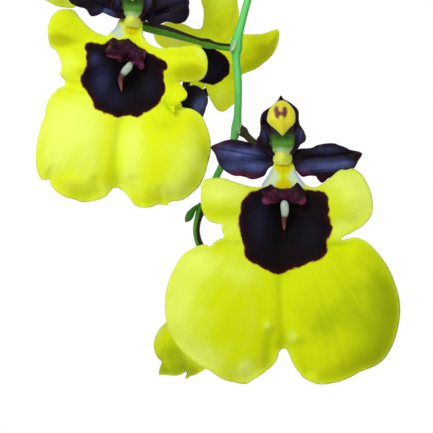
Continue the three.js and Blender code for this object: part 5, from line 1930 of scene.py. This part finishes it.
class ORCHID_OT_lips(bpy.types.Operator):
    """Open each flower's lip, with its crest and tooth"""

    bl_idname = "orchid.lips"
    bl_label = "Lips"

    def execute(self, context):
        flowers = context.scene.orchid_flowers
        # Three copies of the lip yellow that differ only in painted light: plain, painted brighter for the left
        # flower, and painted brighter still for the back flower.
        finishes = {
            "clear": lip_material(flowers, "Lip Yellow", flowers.lip, flowers.lip_pale_and_highlight, flowers.lip_painted_shade),
            "painted_brighter": lip_material(flowers, "Lip Bright Yellow", tint("#dcec10"), tint("#e9f968"), tint("#b4bf00")),
            "painted_sunlit": lip_material(flowers, "Lip Sunlit Yellow", tint("#eefc1c"), tint("#f2fc70"), tint("#ccd800")),
        }
        warts, ivory = crest_material(), tooth_material()
        wall = flowers.sheet_thickness / MM
        for name, flower in all_flowers():
            lip, crest = flower["lip"], flower["crest"]
            place, inner = flower_place(flower), flower_place(flower, flower["crest_share"])
            yellow = finishes[flower["finish"]]
            finish(lip_shape(lip), f"{name}_lip_blade", yellow, [f"{name}_lip"], wall=wall, place=place)
            finish(crest_shape(lip, crest), f"{name}_crest", warts, wall=0.3, place=inner)
            finish(tooth_shape(crest["tooth"]), f"{name}_tooth", ivory, place=inner)
        torn = flap_shape(TALL_LIP, TORN_FLAP, (7.6, -11.0))
        place = flower_place(dict(all_flowers())["left_flower"])
        finish(torn, "left_flower_torn_flap", finishes["painted_brighter"], wall=wall, place=place)
        return {"FINISHED"}


class ORCHID_OT_tepals(bpy.types.Operator):
    """Open each flower's petals and sepals"""

    bl_idname = "orchid.tepals"
    bl_label = "Petals and Sepals"

    def execute(self, context):
        flowers = context.scene.orchid_flowers
        material = tepal_material(flowers)
        wall = flowers.sheet_thickness / MM
        for name, flower in all_flowers():
            place = flower_place(flower)
            for part, (spec, stand) in TEPALS.items():
                bm = tepal_shape(spec or flower["petals"][part], stand)
                label = f"{name}_{part}"
                finish(bm, f"{label}_blade", material, [label], wall=wall, place=place)
            for side, label in SIDES:
                piece = f"{name}_{label}_side_sepal"
                hidden = [f"{name}_side_sepals"]
                finish(side_sepal_shape(side), piece, material, hidden, wall=wall, place=place)
        return {"FINISHED"}


class ORCHID_OT_columns(bpy.types.Operator):
    """Set each flower's column, with its wings and anther cap"""

    bl_idname = "orchid.columns"
    bl_label = "Columns"

    def execute(self, context):
        flowers = context.scene.orchid_flowers
        post, cap = column_material(flowers), cap_material(flowers)
        dark = bpy.data.materials["Petal"]
        wall = flowers.sheet_thickness / MM
        for name, flower in all_flowers():
            place = flower_place(flower, flower["column_share"])
            finish(column_shape(), f"{name}_column_post", post, [f"{name}_column"], place=place)
            finish(cap_shape(), f"{name}_anther_cap", cap, place=place)
            for side, label in SIDES:
                wing = wing_shape(WINGS[label], side)
                finish(wing, f"{name}_{label}_wing", dark, wall=wall, place=place)
        return {"FINISHED"}


OPERATORS = [
    ORCHID_OT_stage, ORCHID_OT_pot, ORCHID_OT_bark, ORCHID_OT_roots, ORCHID_OT_bulbs, ORCHID_OT_leaves,
    ORCHID_OT_stem, ORCHID_OT_stalks, ORCHID_OT_lips, ORCHID_OT_tepals, ORCHID_OT_columns,
]


class ORCHID_PT_panel(bpy.types.Panel):
    """Lists the steps that make the orchid, and the sizes and colours they use"""

    bl_idname = "ORCHID_PT_panel"
    bl_label = "Potted Orchid"
    bl_space_type = "VIEW_3D"
    bl_region_type = "UI"
    bl_category = "Orchid"

    def draw(self, context):
        column = self.layout.column(align=True)
        for operator in OPERATORS:
            column.operator(operator.bl_idname)
        for label in SETTINGS:
            box = self.layout.box()
            group = getattr(context.scene, label)
            for name in group.__annotations__:
                box.prop(group, name)


SETTINGS = {
    "orchid_stage": OrchidStageSettings,
    "orchid_pot": OrchidPotSettings,
    "orchid_plant": OrchidPlantSettings,
    "orchid_flowers": OrchidFlowerSettings,
}
CLASSES = [*SETTINGS.values(), *OPERATORS, ORCHID_PT_panel]


def register():
    for kind in CLASSES:
        bpy.utils.register_class(kind)
    for label, kind in SETTINGS.items():
        setattr(bpy.types.Scene, label, PointerProperty(type=kind))


def unregister():
    for label in SETTINGS:
        delattr(bpy.types.Scene, label)
    for kind in reversed(CLASSES):
        bpy.utils.unregister_class(kind)


def main():
    register()
    for operator in OPERATORS:
        group, name = operator.bl_idname.split(".")
        getattr(getattr(bpy.ops, group), name)()


if __name__ == "__main__":
    main()
